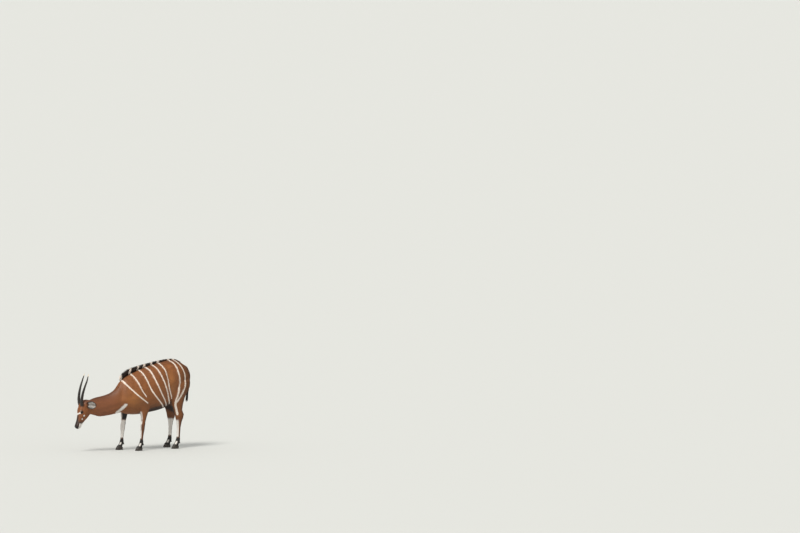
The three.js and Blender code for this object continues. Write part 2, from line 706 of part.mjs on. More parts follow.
const CREST = { from: -204, to: 770, tall: 66, short: 30, width: 58, thickness: 12 };

function crestLocks() {
  const locks = [];
  for (let i = 0; i < CREST_LOCKS; i++) {
    const share = i / (CREST_LOCKS - 1);
    const x = THREE.MathUtils.lerp(CREST.from, CREST.to, share);
    const swell = 0.5 + 0.5 * Math.cos(Math.PI * THREE.MathUtils.clamp((share - 0.08) / 0.7, 0, 1));
    const length = THREE.MathUtils.lerp(CREST.short, CREST.tall, swell) * (1 + 0.12 * vary(i, 2));
    const slope = (backHeight(x + 6) - backHeight(x - 6)) / 12;
    const along = new THREE.Vector3(1, 0, slope).normalize();
    const up = new THREE.Vector3(-along.z, 0, along.x);
    const row = (i % 3) - 1;
    const lie = up.clone().addScaledVector(along, 0.62 + 0.08 * vary(i, 5));
    lie.y += row * 0.14 + 0.04 * vary(i, 3);
    lie.normalize();
    locks.push(
      lock({
        root: new THREE.Vector3(x, row * 5, backHeight(x) - 2),
        lie,
        bend: along.clone().multiplyScalar(0.36 + 0.06 * vary(i, 4)),
        across: along.clone().addScaledVector(lie, -along.dot(lie)).normalize(),
        length,
        width: CREST.width,
        thickness: CREST.thickness,
        sunk: 16,
      }),
    );
  }
  return locks;
}

// The whole body is joined, then parted with thin cuts where a person would name its parts

const nodes = new Map();

function add(name, made, colour, roughness) {
  const material = new THREE.MeshStandardMaterial({ color: COLOURS[colour], roughness, metalness: 0 });
  const mesh = new THREE.Mesh(shell(made), material);
  mesh.name = name;
  nodes.set(name, mesh);
}

const { head, parts: headPieces } = headParts();
const { tail, root: tailRoot } = tailSolids();
const legSolids = LEGS.map(legSolid);

const THROAT = { facing: new THREE.Vector3(-1, 0.25, -0.12), at: new THREE.Vector3(-604, 99, 620) };
const NECK_BASE = { facing: new THREE.Vector3(-0.995, 0, 0.103), at: new THREE.Vector3(-222, 0, 800) };

let flesh = joined([trunkSolid(), neckSolid(), head, tailRoot, ...legSolids]).subtract(dockParts(GAP)[0]);
const [headNode, behindHead] = cutAt(flesh, THROAT.facing, THROAT.at);
const [neckNode, body] = cutAt(behindHead, NECK_BASE.facing, NECK_BASE.at);
flesh = body;

for (const leg of LEGS) {
  const sides = [leg.side * leg.inner, leg.side * 400].sort((a, b) => a - b);
  const reach = ([from, to], low, high) => [
    [from, sides[0], low],
    [to, sides[1], high],
  ];
  const room = [reach(leg.upper, leg.free - 5, leg.top), reach(leg.lower, -50, leg.free)];
  const [whole, rest] = cutOut(flesh, room);
  flesh = rest;
  const { x, y } = footMiddle(leg);
  const [aboveHoof] = cutAt(whole, coronetFacing(), new THREE.Vector3(x, y, CORONET.height));
  const [upper, lowerLeg] = cutAt(aboveHoof, new THREE.Vector3(0, 0, 1), new THREE.Vector3(0, 0, leg.knee));
  let lower = lowerLeg;
  for (const [place, inward] of [["outer", leg.side], ["inner", -leg.side]]) {
    lower = lower.subtract(dewclawBall(leg, inward, GAP));
    add(`${leg.name}_claw_${place}`, clawSolid(leg, inward), "hoof", 0.45);
    add(`${leg.name}_dewclaw_${place}`, dewclawBall(leg, inward, 0), "hoof", 0.5);
  }
  add(`${leg.name}_upper`, upper, "coat", 0.7);
  add(`${leg.name}_lower`, lower, "coat", 0.7);
}

const crest = crestLocks().map((one) => cutAt(one, NECK_BASE.facing, NECK_BASE.at)[1]);
add("torso", joined([flesh, ...crest]), "coat", 0.7);
add("neck", neckNode, "coat", 0.7);
add("head", headNode, "coat", 0.7);
add("tail", tail, "dark", 0.8);
for (const [name, made] of Object.entries(headPieces)) {
  const colour = name.startsWith("eye") ? "eye" : name.startsWith("horn") ? "horn" : "coat";
  add(name, made, colour, name.startsWith("eye") ? 0.1 : 0.5);
}

// Centres the animal over the origin, with the soles of the hooves at z = 0.
const bongo = new THREE.Group();
const bounds = new THREE.Box3();
for (const mesh of nodes.values()) {
  bongo.add(mesh);
  bounds.expandByObject(mesh);
}
const middle = bounds.getCenter(new THREE.Vector3());
bongo.position.set(-middle.x, -middle.y, -bounds.min.z);

export default bongo;
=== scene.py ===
import math

import bmesh
import bpy
import numpy as np
import openvdb as vdb
from mathutils import Matrix, Vector


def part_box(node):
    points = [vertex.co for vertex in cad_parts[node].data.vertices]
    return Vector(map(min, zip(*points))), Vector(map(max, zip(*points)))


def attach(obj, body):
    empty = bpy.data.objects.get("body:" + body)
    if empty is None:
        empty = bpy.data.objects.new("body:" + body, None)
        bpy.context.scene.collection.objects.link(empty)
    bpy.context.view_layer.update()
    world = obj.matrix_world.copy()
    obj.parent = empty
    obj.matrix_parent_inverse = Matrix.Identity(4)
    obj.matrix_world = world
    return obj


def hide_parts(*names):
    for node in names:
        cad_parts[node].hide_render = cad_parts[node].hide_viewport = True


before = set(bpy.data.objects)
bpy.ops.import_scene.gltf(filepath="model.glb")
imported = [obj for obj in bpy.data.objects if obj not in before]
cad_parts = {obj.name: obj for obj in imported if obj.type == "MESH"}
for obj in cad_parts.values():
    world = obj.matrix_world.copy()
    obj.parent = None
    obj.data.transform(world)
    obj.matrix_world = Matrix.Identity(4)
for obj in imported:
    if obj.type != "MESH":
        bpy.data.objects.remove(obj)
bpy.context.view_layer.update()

# Places on the animal
# Places are in metres from the spot on the floor under her withers, or from her nape in the axes of her head.
# She heads along -X, her left side faces -Y and +Z is up. Her left forefoot and her eyes tell where both lie.
LEFT_FOREFOOT = (0.002, -0.145)
EYE_ALONG, EYE_RISE = 0.136, 0.013
FACE_PITCH = math.radians(70)


def unit(rows):
    """The same directions with a length of one."""
    return rows / np.linalg.norm(rows, axis=-1, keepdims=True)


def square_to(rows, ways):
    """What is left of directions without their share along other directions of length one."""
    return rows - np.sum(rows * ways, axis=-1, keepdims=True) * ways


claw_boxes = [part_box(f"foreleg_left_claw_{side}") for side in ("outer", "inner")]
claw_low = np.min([low for low, high in claw_boxes], axis=0)
claw_high = np.max([high for low, high in claw_boxes], axis=0)
foot = (claw_low + claw_high) / 2
ORIGIN = np.array([foot[0] - LEFT_FOREFOOT[0], foot[1] - LEFT_FOREFOOT[1], 0])

SIDES = (("left", 1), ("right", -1))
eye_at = {side: np.mean(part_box(f"eye_{side}"), axis=0) for side in ("left", "right")}
eye_low, eye_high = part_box("eye_left")
EYE_RADIUS = float(eye_high[2] - eye_low[2]) / 2
head_out = unit(eye_at["left"] - eye_at["right"])
head_ahead = np.cross(head_out, (0, 0, 1))
head_along = head_ahead * math.cos(FACE_PITCH) - np.array([0, 0, math.sin(FACE_PITCH)])
head_rise = np.cross(head_along, head_out)
HEAD_AXES = np.array([head_along, head_out, head_rise])
nape = (eye_at["left"] + eye_at["right"]) / 2 - EYE_ALONG * head_along - EYE_RISE * head_rise


def in_body(points):
    """Places of the frame as places from under the withers."""
    return points - ORIGIN


def in_head(points):
    """Places of the frame as along the face from the nape, out to her left, and up from the face."""
    return (points - nape) @ HEAD_AXES.T


def from_head(along, out, rise):
    return nape + along * head_along + out * head_out + rise * head_rise


def fade(value, start, end):
    """0 before start, 1 after end, and a smooth change between them."""
    share = np.clip((value - start) / (end - start), 0, 1)
    return share * share * (3 - 2 * share)


def within(value, start, full, end, gone):
    """0 before start, 1 from full to end, and 0 again where it is gone."""
    return fade(value, start, full) * (1 - fade(value, end, gone))


# Skin
# One closed hide over the torso, neck, head, ears, legs and the root of the tail. It is drawn over muscle and
# bone without a seam, softened where one part meets the next, and lies under the coat by the coat's depth.
BODY_GRAIN = 0.005
HEAD_GRAIN = 0.002
MERGE = 0.0018  # how readily flat parts of the hide are drawn with larger faces
SPLICE = -0.562  # where the finer hide of the head and upper neck meets the hide of the body
SPLICE_GAP = 0.0012
BODY_ROOM = ((-0.70, -0.30, 0.0), (0.94, 0.30, 1.26))
HEAD_ROOM = ((-0.90, -0.18, 0.28), (-0.53, 0.38, 0.82))
BODY_REACH, HEAD_REACH = 0.034, 0.012  # how deep under the hide its distance is known
CREST_CORE = 0.014  # half of the thickness under which the crest isn't flesh
LEG_SOFTNESS, TRUNK_SOFTNESS, CHEST_SOFTNESS = 0.0055, 0.012, 0.014
HEAD_SOFTNESS, FINE_SOFTNESS = 0.0034, 0.0013
COAT_DEPTH = {"body": 0.0026, "leg": 0.0016, "head": 0.0012}
TAIL_LINE = ((0.78, 0, 1.146), (0.852, 0, 1.126), (0.902, -0.002, 1.072), (0.922, -0.006, 0.984),
             (0.915, -0.012, 0.892), (0.898, -0.018, 0.80), (0.886, -0.022, 0.735))
DOCK_RADIUS = (0.025, 0.008)
HORN_PLUG = (0.049, 0.031, 0.029)
HORN_PLUG_RADIUS = 0.030
CORONET_HEIGHT, CORONET_TILT = 0.050, 0.36
COAT_OVER_CLAW = 0.010
EAR_ROOT = (0.014, 0.050, -0.014)
EAR_AXIS = (-0.12, 0.90, -0.40)
EAR_FACING = (0.42, 0.12, 0.90)
EAR_LENGTH = 0.192
# Half of an ear's width at each share of its length
EAR_HALF = ((0, 0.12, 0.28, 0.48, 0.68, 0.85, 0.95, 1),
            (0.020, 0.023, 0.037, 0.052, 0.054, 0.040, 0.022, 0.007))
EAR_WALL = 0.0015  # added to each face of an ear
# Soft forms of muscle and bone: place (x, out to each side, z), spread each way, and how far they stand out
BODY_FORMS = (
    ((-0.195, 0.11, 0.690), (0.040, 0.06, 0.045), 0.007),
    ((-0.030, 0.17, 0.740), (0.070, 0.09, 0.070), 0.005),
    ((0.085, 0.17, 0.625), (0.022, 0.06, 0.022), 0.005),
    ((0.470, 0.20, 1.000), (0.050, 0.12, 0.085), -0.011),
    ((0.545, 0.13, 1.135), (0.035, 0.06, 0.030), 0.007),
    ((0.500, 0.19, 0.720), (0.045, 0.06, 0.055), 0.007),
    ((0.445, 0.20, 0.700), (0.035, 0.06, 0.060), -0.007),
    ((0.680, 0.19, 0.900), (0.080, 0.08, 0.100), 0.006),
    ((0.838, 0.07, 1.060), (0.030, 0.04, 0.035), 0.006),
)
# Ridges and grooves seen from the side: places (x, z), width, and how far they stand out
BODY_LINES = (
    (((-0.060, 1.040), (-0.105, 0.880), (-0.180, 0.720)), 0.028, 0.004),
    (((-0.165, 0.980), (-0.215, 0.860), (-0.250, 0.700)), 0.034, -0.005),
    (((0.080, 0.980), (0.050, 0.840), (0.090, 0.660)), 0.030, -0.006),
    (((0.820, 1.040), (0.775, 0.860), (0.735, 0.660)), 0.018, -0.004),
    (((-0.640, 0.555), (-0.430, 0.585), (-0.230, 0.650)), 0.022, -0.004),
    (((0.059, 0.160), (0.064, 0.290)), 0.0055, -0.0022),
    (((0.666, 0.160), (0.677, 0.380)), 0.0055, -0.0022),
)
RIB_STEP, RIB_RISE, RIB_SLANT = 0.046, 0.0006, 0.3
# The forms of a foreleg and a hind leg, where out is counted from the middle of the leg
FORELEG_FORMS = (
    ((0.046, 0, 0.345), (0.016, 0.020, 0.028), 0.006),
    ((0.104, 0, 0.368), (0.013, 0.014, 0.016), 0.005),
    ((0.090, 0, 0.300), (0.014, 0.020, 0.024), -0.003),
    ((0.060, 0.030, 0.480), (0.030, 0.020, 0.050), 0.004),
    ((0.066, 0, 0.135), (0.016, 0.020, 0.016), 0.004),
    ((0.038, 0, 0.130), (0.012, 0.020, 0.014), 0.002),
    ((0.060, 0.017, 0.099), (0.011, 0.009, 0.010), 0.007),
)
HINDLEG_FORMS = (
    ((0.744, 0, 0.478), (0.014, 0.016, 0.018), 0.005),
    ((0.704, 0, 0.560), (0.013, 0.060, 0.045), -0.008),
    ((0.612, 0, 0.455), (0.016, 0.022, 0.026), 0.003),
    ((0.665, 0.034, 0.450), (0.020, 0.012, 0.020), 0.003),
    ((0.718, 0, 0.400), (0.012, 0.030, 0.030), -0.002),
    ((0.676, 0, 0.135), (0.016, 0.020, 0.016), 0.004),
    ((0.662, 0.017, 0.099), (0.011, 0.009, 0.010), 0.007),
)
FORELEG_OUT, HINDLEG_OUT = 0.144, 0.137
FORELEG_STEP, HINDLEG_STEP = -0.135, 0.042  # how far the right leg stands behind the left one
THROAT = ((-0.588, 0.070, 0.490), (0.068, 0.10, 0.045), -0.026)
NAPE = ((-0.662, 0.080, 0.704), (0.026, 0.05, 0.022), 0.010)
# Forms of the head as (along the face, out, up from the face), spread each way, and how far they stand out
HEAD_FORMS = (
    ((0.104, 0.046, 0.036), (0.026, 0.012, 0.012), 0.005),
    ((0.176, 0.046, 0.006), (0.022, 0.012, 0.010), -0.004),
    ((0.185, 0.052, -0.022), (0.040, 0.016, 0.010), 0.003),
    ((0.105, 0.060, -0.050), (0.034, 0.020, 0.032), 0.008),
    ((0.205, 0.046, -0.052), (0.034, 0.016, 0.018), -0.004),
    ((0.240, 0.034, 0.022), (0.050, 0.010, 0.012), -0.003),
    ((0.085, 0.000, 0.062), (0.024, 0.014, 0.012), -0.004),
    ((0.330, 0.034, 0.012), (0.018, 0.012, 0.012), 0.004),
    ((0.350, 0.022, 0.003), (0.010, 0.006, 0.008), -0.014),
    ((0.340, 0.033, -0.001), (0.010, 0.007, 0.005), -0.008),
    ((0.318, 0.040, -0.022), (0.026, 0.014, 0.009), 0.003),
    ((0.322, 0.030, -0.050), (0.020, 0.016, 0.010), 0.004),
    ((0.010, 0.060, -0.020), (0.024, 0.020, 0.022), 0.006),
)
MOUTH_DEPTH, MOUTH_WIDTH = 0.0042, 0.0026
MOUTH_MIDDLE = (0.31, 0, -0.03)
LID_TURN = math.radians(18)
LID_HALF = {"corner": math.radians(60), "upper": math.radians(47), "lower": math.radians(39)}
LID_BOW = 2.3  # how full the almond between the lids is
LID_THICK = 0.0032
LID_JOIN = 0.012  # how softly the lids run out into the face
LID_ROLL, LID_FOLD = (0.0025, 0.0025), (0.0085, 0.0020)  # place out from the opening, and spread
LID_ROLL_RISE = 0.0022
SOCKET_DEPTH = 0.0025  # how far the hide runs in behind the front of the eyeball


def smooth_line(points, steps):
    """A smooth line through the points, with that many stretches between each two."""
    points = np.array(points, float)
    ends = np.vstack([2 * points[0] - points[1], points, 2 * points[-1] - points[-2]])
    line = []
    for a, b, c, d in zip(ends, ends[1:], ends[2:], ends[3:]):
        for t in np.arange(steps) / steps:
            line.append(0.5 * (2 * b + (c - a) * t + (2 * a - 5 * b + 4 * c - d) * t**2
                               + (3 * b - a - 3 * c + d) * t**3))
    return np.array(line + [points[-1]])


def closed_tube(line, radii, sides):
    """Points and triangles of a round tube along a line, closed at both ends."""
    tangent = unit(np.gradient(line, axis=0))
    across = unit(np.cross(tangent, (0, 1, 0)))
    up = np.cross(tangent, across)
    angle = np.arange(sides) / sides * 2 * math.pi
    ring = across[:, None] * np.cos(angle)[None, :, None] + up[:, None] * np.sin(angle)[None, :, None]
    points = (line[:, None] + ring * np.asarray(radii)[:, None, None]).reshape(-1, 3)
    points = np.vstack([points, line[0], line[-1]])
    last = (len(line) - 1) * sides
    root, tip = last + sides, last + sides + 1
    triangles = []
    for k in range(sides):
        after = (k + 1) % sides
        for row in range(0, last, sides):
            a, b = row + k, row + after
            triangles += [(a, a + sides, b), (b, a + sides, b + sides)]
        triangles += [(k, after, root), (last + after, last + k, tip)]
    return points, np.array(triangles)


def ball(centre, radius):
    bm = bmesh.new()
    bmesh.ops.create_icosphere(bm, subdivisions=3, radius=radius)
    points = np.array([v.co for v in bm.verts]) + centre
    triangles = np.array([[v.index for v in f.verts] for f in bm.faces])
    bm.free()
    return points, triangles


def numbers_of(mesh):
    """A mesh's points, normals and triangles."""
    mesh.calc_loop_triangles()
    points = np.empty(len(mesh.vertices) * 3)
    mesh.vertices.foreach_get("co", points)
    normals = np.empty(len(mesh.vertices) * 3, np.float32)
    mesh.vertex_normals.foreach_get("vector", normals)
    triangles = np.empty(len(mesh.loop_triangles) * 3, np.int32)
    mesh.loop_triangles.foreach_get("vertices", triangles)
    return points.reshape(-1, 3), normals.reshape(-1, 3).astype(float), triangles.reshape(-1, 3)


def triangle_mesh(name, points, triangles):
    mesh = bpy.data.meshes.new(name)
    mesh.vertices.add(len(points))
    mesh.vertices.foreach_set("co", points.astype(np.float32).ravel())
    mesh.loops.add(triangles.size)
    mesh.loops.foreach_set("vertex_index", triangles.astype(np.int32).ravel())
    mesh.polygons.add(len(triangles))
    mesh.polygons.foreach_set("loop_start", np.arange(0, triangles.size, 3, dtype=np.int32))
    mesh.update(calc_edges=True)
    mesh.shade_smooth()
    return mesh


def heap(meshes):
    """Several closed meshes as one list of points and one of triangles."""
    counts = np.cumsum([0] + [len(points) for points, _ in meshes])
    return (np.vstack([points for points, _ in meshes]),
            np.vstack([triangles + count for (_, triangles), count in zip(meshes, counts)]))


def of_nodes(*names):
    """Nodes of the frame as one heap."""
    return heap([numbers_of(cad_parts[name].data)[::2] for name in names])


def from_line(x, z, line):
    """Distance seen from the side to a line, how much of it is passed, and the direction square to it."""
    best = np.full(len(x), 9.0)
    passed, ex, ez = np.zeros(len(x)), np.ones(len(x)), np.zeros(len(x))
    for k in range(len(line) - 1):
        (ax, az), (dx, dz) = line[k], line[k + 1] - line[k]
        size = math.hypot(dx, dz)
        t = np.clip(((x - ax) * dx + (z - az) * dz) / size**2, 0, 1)
        gap = np.hypot(x - ax - t * dx, z - az - t * dz)
        near = gap < best
        best[near] = gap[near]
        passed[near] = (k + t[near]) / (len(line) - 1)
        ex[near], ez[near] = -dz / size, dx / size
    return best, passed, ex, ez


class Room:
    """A box of air measured by its distance to a closed surface, in steps of one grain."""

    def __init__(self, low, high, grain):
        self.grain = grain
        self.start = np.floor((np.array(low) + ORIGIN) / grain).astype(int)
        self.shape = np.ceil((np.array(high) + ORIGIN) / grain).astype(int) - self.start
        ways = [((self.start[i] + np.arange(self.shape[i])) * grain - ORIGIN[i]).astype(np.float32)
                for i in range(3)]
        self.x, self.y, self.z = np.meshgrid(*ways, indexing="ij", sparse=True)

    def distance(self, points, triangles, reach):
        """Distance from every step to the surface, negative inside, out to `reach`."""
        grid = vdb.FloatGrid.createLevelSetFromPolygons(
            points.astype(np.float32), triangles=triangles.astype(np.uint32),
            transform=vdb.createLinearTransform(voxelSize=self.grain), halfWidth=reach / self.grain)
        values = np.empty(tuple(self.shape), np.float32)
        grid.copyToArray(values, ijk=tuple(int(v) for v in self.start))
        return values

    def surface(self, values, level=0.0, merge=0.0):
        """Points and triangles where the distance is `level`, with larger faces on flat places."""
        grid = vdb.FloatGrid(float(values.max()))
        grid.copyFromArray(values, ijk=tuple(int(v) for v in self.start))
        grid.transform = vdb.createLinearTransform(voxelSize=self.grain)
        points, triangles, quads = grid.convertToPolygons(isovalue=level, adaptivity=merge)
        return points.astype(float), np.vstack([triangles, quads[:, :3], quads[:, [0, 2, 3]]]).astype(int)

    def joined(self, points, triangles, reach):
        """Distance to the outside of a heap of solids that run into each other."""
        return self.distance(*self.surface(self.distance(points, triangles, 3 * self.grain)), reach)

    def near(self, place, reach):
        """The steps within reach of a place."""
        low = np.floor((place + ORIGIN - reach) / self.grain).astype(int) - self.start
        high = np.ceil((place + ORIGIN + reach) / self.grain).astype(int) - self.start
        return tuple(slice(max(a, 0), max(b, 0)) for a, b in zip(low, high))

    def ways_from(self, place, near):
        """How far the steps there lie from a place, along x, y and z."""
        return [way[tuple(near[i] if i == axis else slice(None) for i in range(3))] - np.float32(place[axis])
                for axis, way in enumerate((self.x, self.y, self.z))]

    def swell(self, values, place, spread, height):
        """Raise a soft round form there, or press in a hollow where the height is negative."""
        place, spread = np.array(place, float), np.array(spread, float)
        near = self.near(place, 2.6 * spread)
        bell = -np.float32(height)
        for way, reach in zip(self.ways_from(place, near), spread):
            bell = bell * np.exp(-(way / np.float32(reach)) ** 2)
        values[near] += bell

    def crease(self, values, line, width, height):
        """Raise a ridge along a line seen from the side, or press in a groove, fading out at its ends."""
        x, z = [np.broadcast_to(way, (self.shape[0], 1, self.shape[2])).ravel() for way in (self.x, self.z)]
        line = np.array(line)
        near = (x > line[:, 0].min() - 3 * width) & (x < line[:, 0].max() + 3 * width)
        near &= (z > line[:, 1].min() - 3 * width) & (z < line[:, 1].max() + 3 * width)
        gap, passed, _, _ = from_line(x[near], z[near], line)
        lift = np.zeros(len(x), np.float32)
        lift[near] = height * np.exp(-(gap / width) ** 2) * within(passed, 0, 0.2, 0.8, 1)
        values -= lift.reshape(self.shape[0], 1, self.shape[2])

    def softened(self, values, width):
        """The same distances, averaged over about `width` to each side."""
        sigma = width / self.grain
        reach = math.ceil(2.6 * sigma)
        weights = np.exp(-0.5 * (np.arange(-reach, reach + 1) / sigma) ** 2)
        weights /= weights.sum()
        for axis in range(3):
            wide = np.pad(values, [(reach, reach) if i == axis else (0, 0) for i in range(3)], mode="edge")
            total = np.zeros_like(values)
            for step, weight in enumerate(weights.astype(np.float32)):
                cut = [slice(None)] * 3
                cut[axis] = slice(step, step + values.shape[axis])
                total += weight * wide[tuple(cut)]
            values = total
        return values

    def sampled(self, values, other):
        """The values of this room at every step of another room inside it."""
        for axis in range(3):
            at = (other.start[axis] + np.arange(other.shape[axis])) * other.grain / self.grain
            at = np.clip(at - self.start[axis], 0, values.shape[axis] - 1.001)
            low = np.floor(at).astype(int)
            rest = (at - low).astype(np.float32).reshape([-1 if i == axis else 1 for i in range(3)])
            values = values.take(low, axis) * (1 - rest) + values.take(low + 1, axis) * rest
        return values


def blend(first, second, share):
    return first + (second - first) * np.asarray(share, np.float32)


def measured(places, axes):
    """Places, given as three lists, along each of other axes instead."""
    return [sum(place * np.float32(step) for place, step in zip(places, axis)) for axis in axes]


def ear_frame(side):
    """Root, lengthwise axis, axis across and open side of an ear, in the head's axes."""
    flip = np.array([1, side, 1])
    axis = unit(np.array(EAR_AXIS) * flip)
    facing = unit(square_to(np.array(EAR_FACING) * flip, axis))
    return np.array(EAR_ROOT) * flip, axis, np.cross(axis, facing), facing


def ear_mask(along, out, rise):
    """1 on an ear clear of the head, and 0 elsewhere."""
    mask = 0
    for side in (1, -1):
        root, *axes = ear_frame(side)
        length, width, height = measured((along - root[0], out - root[1], rise - root[2]), axes)
        inside = within(length, 0.022, 0.034, 0.20, 0.22) * (1 - fade(np.abs(width), 0.066, 0.078))
        mask = mask + inside * fade(height, -0.045, -0.025)
    return mask


def mouth_height(along):
    """How high the line of the mouth runs at each place along the face."""
    return -0.0345 + 0.35 * np.abs(along - 0.325) ** 1.3


def eye_axes(side):
    """The way from the rear to the front corner of an eye, from lower to upper lid, and out of it."""
    outward = unit(side * head_out + 0.10 * head_along + 0.10 * head_rise)
    slit = unit(square_to(math.cos(LID_TURN) * head_along - math.sin(LID_TURN) * head_rise, outward))
    upward = np.cross(outward, slit)
    return slit, upward * np.sign(upward @ head_rise), outward


def outside_lids(places, side):
    """How far places lie outside the opening between the lids, how far from the eye, and how high."""
    ways = measured(places, eye_axes(side))
    level, height = np.arctan2(ways[0], ways[2]), np.arctan2(ways[1], ways[2])
    corner = LID_HALF["corner"]
    half = np.where(height > 0, LID_HALF["upper"], LID_HALF["lower"])
    bow = np.minimum(np.abs(level) / corner, 1)
    gap = np.abs(height) - half * (1 - bow**LID_BOW)
    gap = gap / np.sqrt(1 + (LID_BOW * half * bow ** (LID_BOW - 1) / corner) ** 2)
    gap = np.hypot(gap, np.abs(level) - corner * bow) * np.where(gap < 0, -1, 1)
    far = np.sqrt(sum(way**2 for way in ways))
    return gap * far, far, height


def body_hide(room, dock):
    """Distance from the hide of her trunk, legs and lower neck at every step of the room."""
    body = room.joined(*of_nodes("torso", "neck", "head", *legs, *dewclaws, *claws), BODY_REACH)
    opened = room.distance(*room.surface(body, -CREST_CORE), 0.050) - np.float32(CREST_CORE)
    body = blend(body, opened, fade(room.z, 0.80, 0.90))
    body = np.minimum(body, room.distance(*dock, BODY_REACH))
    trunk = room.softened(body, TRUNK_SOFTNESS)
    on_trunk = fade(room.z, 0.46, 0.70) * (1 - fade(room.x, 0.84, 0.9))
    hide = blend(room.softened(body, LEG_SOFTNESS), trunk, on_trunk)
    chest = np.exp(-((room.x + 0.25) / 0.09) ** 2) * fade(room.z, 0.46, 0.60)
    hide = blend(hide, room.softened(trunk, CHEST_SOFTNESS), chest)
    hide += COAT_DEPTH["leg"] + (COAT_DEPTH["body"] - COAT_DEPTH["leg"]) * fade(room.z, 0.5, 0.8)
    for (x, out, z), spread, height in BODY_FORMS:
        for side in (-1, 1):
            room.swell(hide, (x, side * out, z), spread, height)
    for line, width, height in BODY_LINES:
        room.crease(hide, line, width, height)
    for forms, middle, step in ((FORELEG_FORMS, FORELEG_OUT, FORELEG_STEP),
                                (HINDLEG_FORMS, HINDLEG_OUT, HINDLEG_STEP)):
        for (x, out, z), spread, height in forms:
            for side in (-1, 1):
                for way in (-1, 1) if out else (1,):
                    room.swell(hide, (x + step * (side > 0), side * middle + way * out, z), spread, height)
    room.swell(hide, *THROAT)
    ribs = within(room.x, 0.08, 0.16, 0.34, 0.44) * within(room.z, 0.62, 0.72, 0.9, 1)
    wave = np.sin((room.x + RIB_SLANT * (room.z - 0.8)) * 2 * math.pi / RIB_STEP)
    hide -= RIB_RISE * wave * ribs.astype(np.float32)
    return hide


def cut_at_coronets(room, hide):
    """The hide ends in each hoof, a little under the coronet."""
    for low, high in [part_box(name) for name in claws]:
        middle = (np.array(low) + np.array(high)) / 2 - ORIGIN
        here = (np.abs(room.x - middle[0]) < 0.09) & (np.abs(room.y - middle[1]) < 0.04) & (room.z < 0.11)
        under = (CORONET_HEIGHT - COAT_OVER_CLAW - room.z) * math.cos(CORONET_TILT)
        under = under - (room.x - middle[0]) * math.sin(CORONET_TILT)
        hide = np.where(here, np.maximum(hide, under), hide)
    return hide


def head_hide(room, of_body):
    """Distance from the hide of her head, ears and upper neck at every step of the room."""
    plugs = [ball(from_head(HORN_PLUG[0], side * HORN_PLUG[1], HORN_PLUG[2]), HORN_PLUG_RADIUS)
             for side in (-1, 1)]
    ear_shells = room.surface(room.distance(*of_nodes("ear_left", "ear_right"), 3 * HEAD_GRAIN), EAR_WALL)
    head = room.joined(*heap([of_nodes("neck", "head"), *plugs, ear_shells]), HEAD_REACH)
    offsets = [way + np.float32(o - n) for way, o, n in zip((room.x, room.y, room.z), ORIGIN, nape)]
    along, out, rise = measured(offsets, HEAD_AXES)
    ears = ear_mask(along, out, rise)
    lids = np.zeros_like(head)
    for name, side in SIDES:
        eye = eye_at[name] - ORIGIN
        near = room.near(eye, 0.042)
        outside, far, height = outside_lids(room.ways_from(eye, near), side)
        here = head[near]
        ball_gap = far - np.float32(EYE_RADIUS + LID_THICK)
        join = np.clip(0.5 + (here - ball_gap) / LID_JOIN, 0, 1)
        here = here + (ball_gap - here) * join - LID_JOIN / 2 * join * (1 - join)
        here -= LID_ROLL_RISE * np.exp(-((outside - LID_ROLL[0]) / LID_ROLL[1]) ** 2)
        here += LID_ROLL_RISE * np.exp(-((outside - LID_FOLD[0]) / LID_FOLD[1]) ** 2) * (height > 0)
        head[near] = np.maximum(here, -np.maximum(outside, np.float32(EYE_RADIUS - SOCKET_DEPTH) - far))
        lids[near] = np.maximum(lids[near], 1 - fade(far, 0.026, 0.040))
    fine = np.maximum(np.maximum(ears, lids), fade(along, 0.25, 0.28))
    hide = blend(room.softened(head, HEAD_SOFTNESS), room.softened(head, FINE_SOFTNESS), fine)
    hide += COAT_DEPTH["head"] * (1 - np.maximum(lids, ears))
    for (a, o, r), spread, height in HEAD_FORMS:
        for side in (-1, 1) if o else (1,):
            near = room.near(from_head(a, side * o, r) - ORIGIN, 2.4 * max(spread))
            bell = ((along[near] - a) / spread[0]) ** 2 + ((out[near] - side * o) / spread[1]) ** 2
            bell += ((rise[near] - r) / spread[2]) ** 2
            hide[near] -= np.float32(height) * np.exp(-bell)
    near = room.near(from_head(*MOUTH_MIDDLE) - ORIGIN, 0.09)
    lips = np.abs(rise[near] - mouth_height(along[near])) / MOUTH_WIDTH
    lips = np.exp(-lips**2) - 0.4 * np.exp(-((lips - 2.2) / 1.2) ** 2)
    hide[near] += MOUTH_DEPTH * lips * fade(along[near], 0.250, 0.285)
    room.swell(hide, *NAPE)
    room.swell(hide, *THROAT)
    return blend(hide, of_body, fade(room.x, -0.655, -0.585) * (1 - ears))


def part_of(points, triangles, behind):
    """The side of a surface behind the splice, or ahead of it, with an open edge there."""
    bm = bmesh.new()
    mesh = triangle_mesh("side", points, triangles)
    bm.from_mesh(mesh)
    bpy.data.meshes.remove(mesh)
    at = SPLICE + ORIGIN[0] + (SPLICE_GAP if behind else -SPLICE_GAP)
    bmesh.ops.bisect_plane(bm, geom=bm.verts[:] + bm.edges[:] + bm.faces[:], plane_co=(at, 0, 0),
                           plane_no=(1, 0, 0), clear_inner=behind, clear_outer=not behind)
    return bm


def placed(name, mesh, at=None):
    """A piece of the animal, which is one still body."""
    piece = bpy.data.objects.new(name, mesh)
    bpy.context.collection.objects.link(piece)
    if at is not None:
        piece.matrix_world = at
    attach(piece, "root")
    return piece


